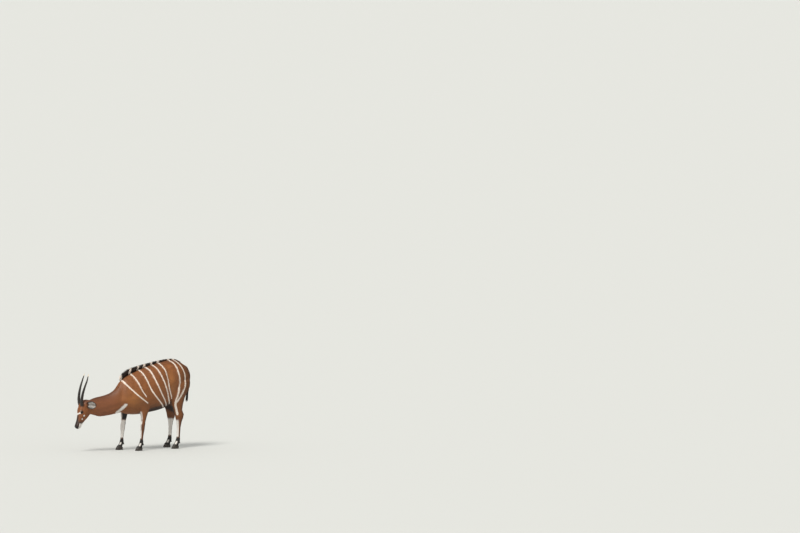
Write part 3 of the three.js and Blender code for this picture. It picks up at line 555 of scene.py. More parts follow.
leg_names = [f"{end}leg_{side}" for end in ("fore", "hind") for side in ("left", "right")]
legs = [f"{leg}_{part}" for leg in leg_names for part in ("upper", "lower")]
claws = [f"{leg}_claw_{place}" for leg in leg_names for place in ("outer", "inner")]
dewclaws = [name.replace("claw", "dewclaw") for name in claws]
tail_line = smooth_line(TAIL_LINE, 8) + ORIGIN
dock_shares = np.linspace(0, 1, len(tail_line)) ** 0.7
dock = closed_tube(tail_line, DOCK_RADIUS[0] + (DOCK_RADIUS[1] - DOCK_RADIUS[0]) * dock_shares, 14)

body_room = Room(*BODY_ROOM, BODY_GRAIN)
body_distance = cut_at_coronets(body_room, body_hide(body_room, dock))
body_skin = body_room.surface(body_distance, merge=MERGE)
head_room = Room(*HEAD_ROOM, HEAD_GRAIN)
head_distance = head_hide(head_room, body_room.sampled(body_distance, head_room))
head_skin = head_room.surface(head_distance, merge=MERGE)

rear_side = part_of(*body_skin, True)
front_side = part_of(*head_skin, False)
whole = bpy.data.meshes.new("skin")
front_side.to_mesh(whole)
rear_side.from_mesh(whole)
front_side.free()
bmesh.ops.bridge_loops(rear_side, edges=[edge for edge in rear_side.edges if edge.is_boundary])
rear_side.to_mesh(whole)
rear_side.free()
skin = placed("skin", whole)
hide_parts("torso", "neck", "head", "ear_left", "ear_right", "tail", *legs)
whole.shade_smooth()

# Markings
# Bright chestnut hair with narrow cream stripes over the flanks, a pale crescent at the base of the neck, a
# chevron and spots on the face, and black and white patches on the legs. The hide has them under the hair.
# Over them lie painted highlights on the hip and shoulder, and painted shade on the rump, thighs and neck
# top.
CHESTNUT = (0.270, 0.092, 0.024)
NECK_BROWN = (0.255, 0.088, 0.034)
GOLDEN = (0.430, 0.168, 0.043)
DARK_BROWN = (0.070, 0.024, 0.011)
BLACK = (0.012, 0.009, 0.008)
CREAM = (0.92, 0.80, 0.70)
WHITE = (0.86, 0.81, 0.76)
NOSE_BLACK = (0.010, 0.009, 0.009)
STRIPE_HALF = 0.0105
STRIPE_EDGE = 0.0025
# Seen from the side: places (x, z) on each stripe from her back down
STRIPES = (
    ((-0.205, 1.02), (-0.193, 0.965), (-0.154, 0.893), (-0.087, 0.814), (-0.013, 0.748), (0.109, 0.664)),
    ((-0.066, 1.12), (-0.064, 1.07), (-0.036, 1.017), (-0.012, 0.942), (0.023, 0.839), (0.083, 0.755)),
    ((0.064, 1.16), (0.068, 1.118), (0.096, 1.067), (0.121, 0.965), (0.169, 0.834), (0.253, 0.726),
     (0.360, 0.635), (0.425, 0.585)),
    ((0.168, 1.19), (0.172, 1.150), (0.204, 1.100), (0.234, 0.988), (0.270, 0.884), (0.330, 0.763),
     (0.415, 0.665), (0.470, 0.608)),
    ((0.282, 1.22), (0.285, 1.172), (0.312, 1.120), (0.330, 1.060), (0.355, 0.973), (0.405, 0.827),
     (0.461, 0.702), (0.520, 0.630)),
    ((0.392, 1.24), (0.394, 1.190), (0.410, 1.140), (0.427, 1.080), (0.436, 0.982), (0.446, 0.852),
     (0.515, 0.705)),
    ((0.560, 1.26), (0.566, 1.225), (0.596, 1.160), (0.616, 1.066), (0.632, 0.935), (0.614, 0.790),
     (0.580, 0.672)),
    ((0.640, 1.26), (0.650, 1.215), (0.692, 1.130), (0.735, 1.010), (0.728, 0.890), (0.668, 0.762),
     (0.598, 0.656)),
)
FLANK_STRIPES = 6  # those that grow narrower downwards; the last two run over the thigh
FLANK_TAPER, THIGH_TAPER = (1.05, 0.72), (0.95, 1.1)
RIGHT_STRIPE_SHIFT = 0.012
THIGH_BAND = ((0.584, 0.664), (0.587, 0.610), (0.604, 0.560), (0.628, 0.483))
CHEST_CRESCENT = ((-0.200, 0.646), (-0.222, 0.608), (-0.250, 0.570), (-0.282, 0.534))
THIGH_BAND_HALF, CRESCENT_HALF = 0.012, 0.026
# Cheek spots: place along the face and up from it, and radius
CHEEK_SPOTS = ((0.176, -0.036, 0.0125), (0.226, -0.030, 0.0105))
CHEVRON_ALONG, CHEVRON_SLANT, CHEVRON_HALF = 0.186, 0.62, 0.0085


def band(places, normals, points, half, taper):
    """1 on a band of that half width along a line drawn on her side, and 0 off it."""
    line = smooth_line([(x, 0, z) for x, z in points], 5)[:, [0, 2]]
    low, high = line.min(axis=0) - 0.05, line.max(axis=0) + 0.05
    mask = np.zeros(len(places))
    near = np.all((places[:, [0, 2]] > low) & (places[:, [0, 2]] < high), axis=1)
    gap, passed, ex, ez = from_line(places[near, 0], places[near, 2], line)
    turned = normals[near, 0] * ex + normals[near, 2] * ez
    gap = gap / np.sqrt(np.clip(1 - turned**2, 0.09, 1))
    width = half * (taper[0] + (taper[1] - taper[0]) * passed)
    mask[near] = 1 - fade(gap, width - STRIPE_EDGE, width + STRIPE_EDGE)
    return mask


def mottle(places, size):
    """A smooth uneven pattern from -1 to 1 whose patches are about that size."""
    a, b, c = (places / size).T
    return (np.sin(1.7 * a + 2.1 * b - 0.8 * c + 1.3) * np.sin(1.1 * b - 1.9 * c + 0.7 * a)
            + np.sin(2.3 * c + 1.3 * a - 1.1 * b + 4.0) * np.sin(0.9 * a + 2.2 * c)) / 2


def all_of(colour, count):
    return np.tile(np.array(colour), (count, 1))


def tint(colours, colour, mask):
    return colours + (np.array(colour) - colours) * mask[:, None]


def ear_places(points, side):
    """Places on an ear: share of its length and out from its middle line, then its open side and its axis."""
    root, axis, across, facing = ear_frame(side)
    offset = in_head(points) - root
    return offset @ axis / EAR_LENGTH, offset @ across, facing @ HEAD_AXES, axis @ HEAD_AXES


def on_ear(points):
    return ear_mask(*in_head(points).T) > 0.5


def paint_body(places, normals):
    x, y, z = places.T
    nx, ny, nz = normals.T
    colours = tint(all_of(CHESTNUT, len(places)), NECK_BROWN, fade(-x, 0.16, 0.42) * 0.8)
    # Painted highlights: a golden band of light down the hip and thigh front, and a pool of light low on the
    # shoulder
    painted_highlight = np.exp(-(((x - 0.51 + 0.12 * (z - 0.9)) / 0.055) ** 2) - ((z - 0.93) / 0.17) ** 2)
    painted_highlight += 1.2 * np.exp(-(((x + 0.09) / 0.12) ** 2) - ((z - 0.72) / 0.11) ** 2)
    colours = tint(colours, GOLDEN, 0.6 * painted_highlight + 0.10 * mottle(places, 0.16))
    colours = tint(colours, DARK_BROWN, 0.13 + 0.11 * mottle(places, 0.11) + 0.06 * mottle(places, 0.03))
    back = fade(z, 0.98, 1.16) * fade(nz, 0.72, 0.98) * fade(x, -0.2, -0.1)
    colours = tint(colours, DARK_BROWN, 0.5 * back)
    # Painted shade: the rump and the backs of the thighs, which face away from the light, are darker
    painted_rump_shade = 0.10 * fade(x, 0.45, 0.65) + 0.75 * fade(x, 0.62, 0.74) * fade(nx, 0.0, 0.75)
    colours = tint(colours, DARK_BROWN, painted_rump_shade)
    # Painted shade: the upper side of the neck is darker
    colours = tint(colours, DARK_BROWN, 0.60 * fade(nz, 0.20, 0.85) * fade(-x, 0.20, 0.30))
    under = fade(-nz, 0.35, 0.80) * fade(x, 0.02, 0.12)
    colours = tint(colours, BLACK, 0.92 * under * fade(z, 0.42, 0.5))
    spine = (1 - fade(np.abs(y), 0.010, 0.026)) * fade(nz, 0.6, 0.9) * fade(x, -0.215, -0.195)
    colours = tint(colours, BLACK, 0.9 * spine * (1 - fade(x, 0.5, 0.8) * 0.5))
    shifted = places.copy()
    shifted[:, 0] += np.where(y > 0, RIGHT_STRIPE_SHIFT, 0) * fade(-z, -1.15, -0.9)
    shifted[:, 0] += 0.0015 * mottle(places, 0.02)
    tapers = [FLANK_TAPER if index < FLANK_STRIPES else THIGH_TAPER for index in range(len(STRIPES))]
    stripes = np.max([band(shifted, normals, stripe, STRIPE_HALF, taper)
                      for stripe, taper in zip(STRIPES, tapers)], axis=0)
    on_outside = np.maximum(fade(np.where(y > 0, ny, -ny), -0.30, 0.0), fade(z, 1.0, 1.1))
    colours = tint(colours, CREAM, stripes * on_outside * 0.96)
    return tint(colours, WHITE, band(places, normals, CHEST_CRESCENT, CRESCENT_HALF, (0.75, 1.1)))


def paint_legs(colours, places, normals):
    x, y, z = places.T
    nx, ny, nz = normals.T
    outer = np.where(y > 0, ny, -ny)
    inward, outward = fade(-outer, -0.1, 0.55), fade(outer, 0.0, 0.5)
    front, rear = fade(-nx, 0.15, 0.7), fade(nx, 0.1, 0.65)
    fore, hind = (x < 0.36), (x >= 0.36)
    off_axis = np.abs(np.abs(y) - np.where(fore, 0.145, 0.137))
    z = z + 0.007 * mottle(places, 0.03)

    def level(low, high, soft=0.012, height=z):
        return within(height, low - soft, low + soft, high - soft, high + soft)

    # Forelegs: dark low down, a black garter above the knee, black behind, and white inside and in front
    front_edge = front * fade(-outer, -0.75, -0.3)
    colours = tint(colours, DARK_BROWN, fore * 0.55 * (1 - fade(z, 0.30, 0.50)))
    colours = tint(colours, WHITE, fore * level(0.43, 0.54) * fade(-nx, 0.62, 0.95) * 0.7)
    colours = tint(colours, BLACK, fore * level(0.425, 0.52) * np.maximum(inward, rear))
    colours = tint(colours, BLACK, fore * level(0.12, 0.43) * rear)
    colours = tint(colours, WHITE, fore * level(0.17, 0.42) * np.maximum(inward, front_edge) * (1 - rear))
    colours = tint(colours, DARK_BROWN, fore * level(0.29, 0.37) * front * outward * 0.6)

    # Hind legs: a cream band down from the thigh, black inside the gaskin and behind,
    # white inside and in front
    gaskin = band(places, normals, THIGH_BAND, THIGH_BAND_HALF, (1.2, 1.35))
    colours = tint(colours, DARK_BROWN, hind * 0.5 * (1 - fade(z, 0.34, 0.54)))
    colours = tint(colours, CREAM, hind * gaskin * fade(outer, -0.5, -0.1))
    slanted = z + 0.35 * (x - 0.68)
    colours = tint(colours, BLACK, hind * level(0.505, 0.60, 0.03, slanted) * inward * 0.9)
    colours = tint(colours, BLACK, hind * level(0.13, 0.41) * rear)
    colours = tint(colours, WHITE, hind * level(0.17, 0.405) * np.maximum(front, inward * (1 - rear) * 0.9))

    # Fetlocks are black, with two white spots over the front of each hoof
    colours = tint(colours, BLACK, 1 - fade(z, 0.145, 0.175))
    return tint(colours, WHITE, level(0.070, 0.108, 0.006) * front * fade(off_axis, 0.004, 0.009))


def from_lids(points):
    """How far places near an eye lie outside the opening between its lids, and 1 elsewhere."""
    outside = np.ones(len(points))
    for name, side in SIDES:
        steps = points - eye_at[name]
        near = np.linalg.norm(steps, axis=1) < 0.045
        outside[near] = outside_lids(steps[near].T, side)[0]
    return outside


def from_horns(points):
    """Distance from the root of the nearer horn."""
    places = in_head(points)
    places[:, 1] = np.abs(places[:, 1])
    return np.linalg.norm(places - HORN_PLUG, axis=1)


def paint_head(colours, points, normals):
    along, out, rise = in_head(points).T
    wide = np.abs(out)
    up = fade(normals @ head_rise, 0.0, 0.6)
    colours = tint(colours, CHESTNUT, fade(along, -0.02, 0.06) * 0.5)
    bridge = (1 - fade(wide, 0.016, 0.034)) * up * fade(along, 0.17, 0.21)
    muzzle = fade(along, 0.235, 0.30)
    colours = tint(colours, DARK_BROWN, 0.35 * fade(along, 0.16, 0.24))
    colours = tint(colours, BLACK, np.clip(0.75 * bridge + 0.85 * muzzle, 0, 0.92))
    chevron = 1 - fade(np.abs(along - (CHEVRON_ALONG - CHEVRON_SLANT * wide)) - CHEVRON_HALF, -0.002, 0.002)
    colours = tint(colours, WHITE, chevron * (wide < 0.050) * fade(rise, 0.008, 0.02))
    cheeks = [1 - fade(np.hypot(along - a, rise - r), size - 0.002, size + 0.002)
              for a, r, size in CHEEK_SPOTS]
    colours = tint(colours, WHITE, np.max(cheeks, axis=0) * (wide > 0.02))
    lips = fade(along, 0.285, 0.300) * (1 - fade(rise + 0.10 * (along - 0.30), -0.018, -0.010))
    chin = fade(along, 0.262, 0.284) * (1 - fade(rise, -0.052, -0.040))
    colours = tint(colours, WHITE, np.maximum(lips, chin))
    colours = tint(colours, NOSE_BLACK, fade(along, 0.338, 0.345) * fade(rise, -0.016, -0.010))
    mouth = fade(along, 0.255, 0.275) * (1 - fade(np.abs(rise - mouth_height(along)), 0.0014, 0.0034))
    colours = tint(colours, BLACK, mouth * 0.9)
    rim = from_lids(points)
    brow = (1 - fade(np.abs(rim - 0.0115), 0.002, 0.006)) * fade(rise, 0.012, 0.026)
    colours = tint(colours, CREAM, 0.45 * brow * fade(along, 0.105, 0.135))
    colours = tint(colours, BLACK, 0.94 * (1 - fade(rim, 0.0030, 0.0060)))
    return tint(colours, DARK_BROWN, 0.6 * (1 - fade(from_horns(points), 0.030, 0.042)))


def paint_ears(colours, points, normals):
    """Brown outside, white in the hollow with a dark middle and root, and a black rim and tip."""
    for side in (1, -1):
        share, across, facing, _ = ear_places(points, side)
        edge = np.abs(across) / np.interp(share, *EAR_HALF)
        here = on_ear(points) & (in_head(points)[:, 1] * side > 0) & (edge < 1.15)
        inside = fade(normals @ facing, 0.05, 0.35)
        middle = (1 - fade(np.abs(across), 0.005, 0.018)) * fade(share, 0.2, 0.5)
        root = 1 - fade(share, 0.24, 0.36)
        rim = np.maximum(fade(edge, 0.70, 0.86), fade(share, 0.86, 0.94))
        colours = tint(colours, DARK_BROWN, here * (1 - inside) * 0.35)
        colours = tint(colours, WHITE, here * inside * 0.9 * fade(share, 0.20, 0.30))
        colours = tint(colours, DARK_BROWN, here * inside * np.maximum(0.7 * middle, 0.85 * root))
        colours = tint(colours, BLACK, here * rim * 0.92)
    return colours


def paint(points, normals):
    """The colour of hide and hair at each place."""
    places = in_body(points)
    colours = paint_body(places, normals)
    on_leg = (places[:, 2] < 0.68) & (places[:, 0] > -0.24)
    colours[on_leg] = paint_legs(colours[on_leg], places[on_leg], normals[on_leg])
    tail = places[:, 0] > 0.862
    colours[tail] = tint(colours[tail], BLACK, fade(-places[tail, 2], -0.95, -0.84) * 0.95)
    head = places[:, 0] < -0.585
    colours[head] = paint_head(colours[head], points[head], normals[head])
    return paint_ears(colours, points, normals) if head.any() else colours


def put_numbers(mesh, name, numbers):
    mesh.attributes.new(name, "FLOAT", "POINT").data.foreach_set("value", numbers.astype(np.float32))


def put_colours(mesh, colours):
    attribute = mesh.attributes.new("hair_colour", "FLOAT_COLOR", "POINT")
    flat = np.ones((len(colours), 4), np.float32)
    flat[:, :3] = np.clip(colours, 0, 1)
    attribute.data.foreach_set("color", flat.ravel())


class Surface:
    """A material's nodes, made one after another."""

    def __init__(self, name, **values):
        self.material = bpy.data.materials.new(name)
        self.material.use_nodes = True
        self.tree = self.material.node_tree
        self.shader = self.tree.nodes["Principled BSDF"]
        for socket, value in values.items():
            self.shader.inputs[socket.replace("_", " ")].default_value = value

    def node(self, kind, output, links, **values):
        """The output of a new node whose inputs are set or linked."""
        made = self.tree.nodes.new(f"ShaderNode{kind}")
        for key, value in values.items():
            setattr(made, key, value)
        for socket, source in links.items():
            if isinstance(source, (int, float, tuple)):
                made.inputs[socket].default_value = source
            else:
                self.tree.links.new(source, made.inputs[socket])
        return made.outputs[output]

    def stored(self, name, output="Fac"):
        return self.node("Attribute", output, {}, attribute_name=name)

    def place(self, **values):
        """Places on the piece, turned or stretched as the values say."""
        at = self.node("TexCoord", "Object", {})
        return self.node("Mapping", "Vector", {"Vector": at, **values}) if values else at

    def changed(self, value, low, high, to_low, to_high):
        return self.node("MapRange", "Result", {"Value": value, "From Min": low, "From Max": high,
                                                "To Min": to_low, "To Max": to_high})

    def combined(self, operation, *values):
        return self.node("Math", "Value", dict(enumerate(values)), operation=operation)

    def two_tones(self, value, low, low_colour, high, high_colour):
        """A colour that runs from one to another as the value goes from low to high."""
        ramp = self.tree.nodes.new("ShaderNodeValToRGB")
        self.tree.links.new(value, ramp.inputs["Fac"])
        for stop, place, colour in zip(ramp.color_ramp.elements, (low, high), (low_colour, high_colour)):
            stop.position, stop.color = place, (*colour, 1)
        return ramp.outputs["Color"]

    def link(self, source, socket):
        self.tree.links.new(source, self.shader.inputs[socket])

    def colour(self, colour, amount):
        """The surface's colour, made darker or lighter by an amount."""
        scaled = self.node("VectorMath", "Vector", {0: colour, "Scale": amount}, operation="SCALE")
        self.link(scaled, "Base Color")

    def bumps(self, height, strength, depth):
        bump = self.node("Bump", "Normal", {"Height": height, "Strength": strength, "Distance": depth})
        self.link(bump, "Normal")


skin_points, skin_normals, skin_triangles = numbers_of(whole)
put_colours(whole, paint(skin_points, skin_normals))
along, out, rise = in_head(skin_points).T
nose = fade(along, 0.336, 0.344) * fade(rise, -0.020, -0.012)
lids = 0.6 * (1 - fade(from_lids(skin_points), 0.0020, 0.0045))
lips = fade(along, 0.262, 0.275) * (1 - fade(np.abs(rise - mouth_height(along)), 0.002, 0.0045))
put_numbers(whole, "bare", np.maximum(np.maximum(nose, lids), lips))

hide = Surface("short hair over hide", Specular_IOR_Level=0.35)
grain = hide.node("TexNoise", "Fac", {"Vector": hide.place(Scale=(0.35, 1, 0.5)), "Scale": 900, "Detail": 3,
                                      "Roughness": 0.6})
patches = hide.node("TexNoise", "Fac", {"Vector": hide.place(), "Scale": 26, "Detail": 4})
tone = hide.combined("MULTIPLY", hide.changed(grain, 0.3, 0.7, 0.72, 1.12),
                hide.changed(patches, 0.3, 0.7, 0.88, 1.1))
hide.colour(hide.stored("hair_colour", "Color"), tone)
bare = hide.stored("bare")
pebbles = hide.node("TexVoronoi", "Distance", {"Vector": hide.place(), "Scale": 480})
hair_grain = hide.combined("MULTIPLY", grain, 0.4)
height = hide.combined("MULTIPLY_ADD", hide.combined("SUBTRACT", pebbles, hair_grain), bare, hair_grain)
hide.bumps(height, 0.5, 0.0012)
hide.link(hide.changed(bare, 0, 1, 0.62, 0.34), "Roughness")
whole.materials.append(hide.material)

# Coat
# Short glossy hair that lies flat, from the nose back along the neck and flanks and down the legs. It grows
# from the hide in small tufts, longest on the trunk and tail and shortest on the face and feet.
TUFT_SPREAD = 0.0030 / 2  # half of the patch that a tuft has on the unwrapped hide
COVER = 1.75  # layers of hair over the hide
MOST_TUFTS = 49000
LID_MARGIN, NOSE_FROM = 0.0030, 0.346  # the lids and the nose have no hair
# Length and width of a tuft, and how far its tip stands off for each unit of its length
BODY_HAIR = (0.0170, 0.0024, 0.080)
LEG_HAIR = (0.0120, 0.0021, 0.060)
FOOT_HAIR = (0.0085, 0.0017, 0.070)
HEAD_HAIR = (0.0088, 0.0017, 0.060)
MUZZLE_HAIR = (0.0056, 0.0013, 0.050)
EAR_HAIR = (0.0095, 0.0015, 0.100)
TAIL_HAIR = (0.0200, 0.0025, 0.120)
HORN_BASE_HAIR = (0.0150, 0.0019, 0.200)
CORONET_HAIR = (0.0130, 0.0018, 0.230)
REGIONS = ("shoulder_left", "shoulder_right", "flank_left", "flank_right", "neck", "head", "ears",
           "forelegs", "hindlegs", "tail")
# Where the left and the right leg of a pair stand along the body, and how far out both do
LEG_STANDS = {"forelegs": (0.06, -0.075, 0.145), "hindlegs": (0.64, 0.68, 0.137)}
# A tuft is a low ridge from its root to its tip, between a left and a right edge close to the hide
TUFT_FACES = np.array(((0, 1, 3), (0, 3, 2), (0, 2, 1), (1, 2, 3)))
TUFT_PATCH = np.array(((0, -1), (-1, 0), (1, 0), (0, 1))) * TUFT_SPREAD
# Painted shade and light on each tuft: darker at its root, under the tufts over it, and lighter at its tip
TUFT_SHADING = (0.84, 0.96, 0.96, 1.08)
TUFT_TURN = 0.11
EDGE_LEAN, TIP_LEAN = 0.32, 0.20  # how far the shading of a tuft turns to its sides and its tip


def hair_at(points):
    """Length, width and stand of the hair at each place."""
    x, y, z = in_body(points).T
    along = in_head(points)[:, 0]
    shares = (
        (LEG_HAIR, (1 - fade(z, 0.42, 0.68)) * fade(x, -0.28, -0.20)),
        (FOOT_HAIR, 1 - fade(z, 0.12, 0.26)),
        (HEAD_HAIR, fade(-x, 0.46, 0.70)),
        (MUZZLE_HAIR, fade(along, 0.15, 0.29) * (x < -0.6)),
        (EAR_HAIR, on_ear(points)),
        (TAIL_HAIR, fade(x, 0.862, 0.875)),
        (HORN_BASE_HAIR, 1 - fade(from_horns(points), 0.033, 0.046)),
        (CORONET_HAIR, 1 - fade(z, 0.062, 0.078)),
    )
    sizes = all_of(BODY_HAIR, len(points))
    for row, share in shares:
        sizes = tint(sizes, row, share)
    return sizes.T


def region_of(points):
    """The name of the coat region that each place is in."""
    x, y, z = in_body(points).T
    names = np.where(x < 0.34, "shoulder_", "flank_").astype("<U16")
    names = np.char.add(names, np.where(y < 0, "left", "right"))
    names[(z < 0.47) & (x > -0.24) & (x < 0.34)] = "forelegs"
    names[(z < 0.56) & (x >= 0.34)] = "hindlegs"
    names[(x > 0.866) & (np.abs(y + 0.01) < 0.05)] = "tail"
    names[x < -0.245] = "neck"
    names[x < -0.605] = "head"
    names[on_ear(points)] = "ears"
    return names


def lie_of_hair(points):
    """The way the hair lies at each place, before it is laid onto the hide."""
    x, y, z = in_body(points).T
    still = np.zeros_like(x)
    lie = np.stack([still + 1, still, -0.25 - 0.55 * fade(np.abs(y), 0.05, 0.2)], axis=1)
    lie = tint(lie, (0.10, 0, -1.0), 1 - fade(z, 0.50, 0.82))
    lie = tint(lie, (0.25, 0, -1.0), fade(x, 0.56, 0.84))
    on_neck = np.stack([still + 1, still - 0.26, -0.30 - 0.2 * fade(-z, -0.62, -0.52)], axis=1)
    lie = tint(lie, on_neck, fade(-x, 0.20, 0.32))
    lie = tint(lie, -head_along, fade(-x, 0.60, 0.69))
    for side in (1, -1):
        _, _, _, axis = ear_places(points, side)
        lie[on_ear(points) & (in_head(points)[:, 1] * side > 0)] = axis
    return lie


def around(first, second):
    """A turn round an axis, seen along two directions square to it, as 0 to 1."""
    return np.arctan2(first, second) / (2 * math.pi) + 0.5


def chart(points, normals, region):
    """Places on the unwrapped hide of one region, from 0 to 1 both ways."""
    x, y, z = in_body(points).T
    along, out, rise = in_head(points).T
    if region.startswith(("shoulder", "flank")):
        u = (x - (-0.26 if region.startswith("shoulder") else 0.33)) / 0.62
        v = np.arctan2(np.abs(y), z - 0.80) / math.pi
    elif region == "neck":
        u = (-0.24 - x) / 0.38
        v = around(y - np.interp(-x, (0.2, 0.36, 0.62), (0, 0.04, 0.10)),
                   z - np.interp(-x, (0.2, 0.3, 0.62), (0.70, 0.66, 0.60)))
    elif region == "head":
        u = (along + 0.08) / 0.48
        v = around(out, rise + 0.03)
    elif region == "ears":
        u, v = np.zeros(len(x)), np.zeros(len(x))
        for column, side in enumerate((1, -1)):
            share, across, facing, _ = ear_places(points, side)
            here = out * side > 0
            back = normals @ facing < 0
            u[here] = (column + 0.05 + 0.9 * np.clip(share, 0, 1)[here]) / 2
            v[here] = (back + 0.5 + np.clip(across / 0.13, -0.45, 0.45))[here] / 2
    elif region == "tail":
        u = (z - 0.70) / 0.48
        v = around(y + 0.01, x - 0.9)
    else:
        left, right, leg_out = LEG_STANDS[region]
        turn = around(np.abs(y) - leg_out, x - np.where(y > 0, right, left))
        u = ((y > 0) + 0.04 + 0.92 * turn) / 2
        v = z / 0.58
    return np.stack([np.clip(u, 0, 1), np.clip(v, 0, 1)], axis=1) * 0.98 + 0.01


def scattered(chosen, weights, count, rng):
    """Places and normals on the chosen triangles of the hide, spread evenly by their weights."""
    total = np.cumsum(weights[chosen])
    picks = np.searchsorted(total, (np.arange(count) + rng.random(count)) / count * total[-1])
    a, b = rng.random(count), rng.random(count)
    over = a + b > 1
    a[over], b[over] = 1 - a[over], 1 - b[over]
    shares = np.stack([1 - a - b, a, b], axis=1)
    picked = skin_triangles[chosen][np.minimum(picks, len(total) - 1)]
    return [np.einsum("nkc,nk->nc", rows[picked], shares) for rows in (skin_points, skin_normals)]


def hair_mesh(name, points, triangles, normals, colours, strands, patch, material):
    """A piece made of many small closed tufts, each with its own patch on the OFBake map."""
    mesh = triangle_mesh(name, points, triangles)
    put_colours(mesh, colours)
    put_numbers(mesh, "strand", strands)
    bake = mesh.uv_layers.new(name="OFBake")
    bake.uv.foreach_set("vector", patch[triangles.ravel()].astype(np.float32).ravel())
    if normals is not None:
        mesh.normals_split_custom_set_from_vertices(normals)
    mesh.materials.append(material)
    placed(name, mesh)


def in_rows(columns, width=3):
    """The points of every tuft, one tuft after another."""
    return np.stack(columns, axis=1).reshape(-1, width)


def tufts(name, region, roots, normals, colours, rng, material):
    number = len(roots)
    length, width, stand = [row[:, None] for row in hair_at(roots)]
    lie = unit(square_to(lie_of_hair(roots), normals))
    across = np.cross(normals, lie)
    turn = rng.normal(0, TUFT_TURN, number)[:, None]
    lie, across = lie + across * turn, across - lie * turn
    long = length * rng.uniform(0.75, 1.2, (number, 1))
    wide = width * rng.uniform(0.8, 1.2, (number, 1)) / 2
    tip = long * stand * rng.uniform(0.6, 1.4, (number, 1)) + 0.0002
    middle = roots + lie * long * 0.45 - normals * 0.0002
    corners = (roots - normals * 0.0001, middle - across * wide, middle + across * wide,
               roots + lie * long + normals * tip)
    leans = (normals, normals - across * EDGE_LEAN, normals + across * EDGE_LEAN, normals + lie * TIP_LEAN)
    tones = colours * rng.uniform(0.92, 1.07, (number, 1))
    start = rng.uniform(0, 900, number)
    faces = TUFT_FACES[None] + (np.arange(number) * 4)[:, None, None]
    # The corner colours carry painted shade at the root of each tuft and painted light at its tip
    hair_mesh(name, in_rows(corners), faces.reshape(-1, 3), in_rows(leans),
              np.clip(in_rows([tones * tone for tone in TUFT_SHADING]), 0, 0.95),
              (start[:, None] + np.array((0, -1, 1, 0))).ravel(),
              (chart(roots, normals, region)[:, None] + TUFT_PATCH).reshape(-1, 2), material)


def hair_material(name, roughness, level):
    hair = Surface(name, Roughness=roughness, Specular_IOR_Level=level)
    strands = hair.node("TexNoise", "Fac", {"W": hair.stored("strand"), "Scale": 3.2, "Detail": 2},
                        noise_dimensions="1D")
    hair.colour(hair.stored("hair_colour", "Color"), hair.changed(strands, 0.3, 0.7, 0.84, 1.14))
    hair.bumps(strands, 0.25, 0.0003)
    return hair.material


coat_hair = hair_material("glossy short hair", 0.46, 0.40)
corners = skin_points[skin_triangles]
middles = corners.mean(axis=1)
face_ways = np.cross(corners[:, 1] - corners[:, 0], corners[:, 2] - corners[:, 0])
areas = np.linalg.norm(face_ways, axis=1) / 2
face_ways /= 2 * areas[:, None] + 1e-12
even = np.einsum("nkc,nc->nk", skin_normals[skin_triangles], face_ways).min(axis=1) > 0.25
haired = (from_lids(middles) > LID_MARGIN) & (in_head(middles)[:, 0] < NOSE_FROM) & even
regions = region_of(middles)
length, width, _ = hair_at(middles)
room_for_tufts = areas / (0.5 * length * width)
for number, region in enumerate(REGIONS):
    rng = np.random.default_rng(100 + number)
    chosen = (regions == region) & haired
    count = min(int(COVER * room_for_tufts[chosen].sum()), MOST_TUFTS)
    roots, directions = scattered(chosen, room_for_tufts, count, rng)
    directions = unit(directions)
    tufts(f"coat_{region}", region, roots, directions, paint(roots, directions), rng, coat_hair)

# Crest
# Stiff hair that stands along the spine from the withers back, black with a cream tuft where each stripe
# crosses. It is rooted in the hide in several rows, tallest over the shoulders and low on the rump.
CREST_FROM, CREST_TO = -0.204, 0.775
# How tall the hair is at each share of the crest's length
CREST_HEIGHT = ((0, 0.10, 0.25, 0.45, 0.8, 1), (0.062, 0.084, 0.066, 0.040, 0.026, 0.016))
CREST_LOCKS = 3600
CREST_ROW = 0.015
CREST_WIDTH, CREST_THICKNESS = (0.0032, 0.0060), 0.0016
CREST_BEND = 0.30
# The three rings of a lock: share of its length, size, and radius on its patch
LOCK_RINGS = ((0.0, 1.0, 1.0), (0.38, 0.92, 0.66), (0.74, 0.55, 0.33))
LOCK_CORNERS = [math.radians(angle) for angle in (90, 210, 330)]


def locks(name, roots, lies, bends, across, lengths, widths, thickness, root_hair, tip_hair, charts,
          material):
    """Tapered locks of three sides that leave their root along `lies` and bend towards `bends`."""
    lift = np.cross(lies, across)
    corners, tones, patch = [], [], []
    for share, size, radius in LOCK_RINGS:
        at = roots + lies * lengths * share + bends * lengths * share**2
        for turn in LOCK_CORNERS:
            corners.append(at + across * widths * size * 0.58 * math.cos(turn)
                           + lift * thickness * size * 0.6 * math.sin(turn))
            tones.append(root_hair + (tip_hair - root_hair) * share)
            patch.append((math.cos(turn) * radius, math.sin(turn) * radius))
    corners.append(roots + (lies + bends) * lengths)
    tones.append(tip_hair)
    patch.append((0, 0))
    faces = [(0, 2, 1)]
    for ring in (0, 3):
        for k in range(3):
            a, b = ring + k, ring + (k + 1) % 3
            faces += [(a, b, a + 3), (b, b + 3, a + 3)]
    faces += [(6, 7, 9), (7, 8, 9), (8, 6, 9)]
    count = len(roots)
    faces = np.array(faces)[None] + (np.arange(count) * 10)[:, None, None]
    strands = np.arange(count)[:, None] * 7.3 + np.array([0, -1, 1] * 3 + [0])
    patch = charts[:, None] + np.array(patch) * TUFT_SPREAD
    hair_mesh(name, in_rows(corners), faces.reshape(-1, 3), None, in_rows(tones), strands.ravel(),
              patch.reshape(-1, 2), material)


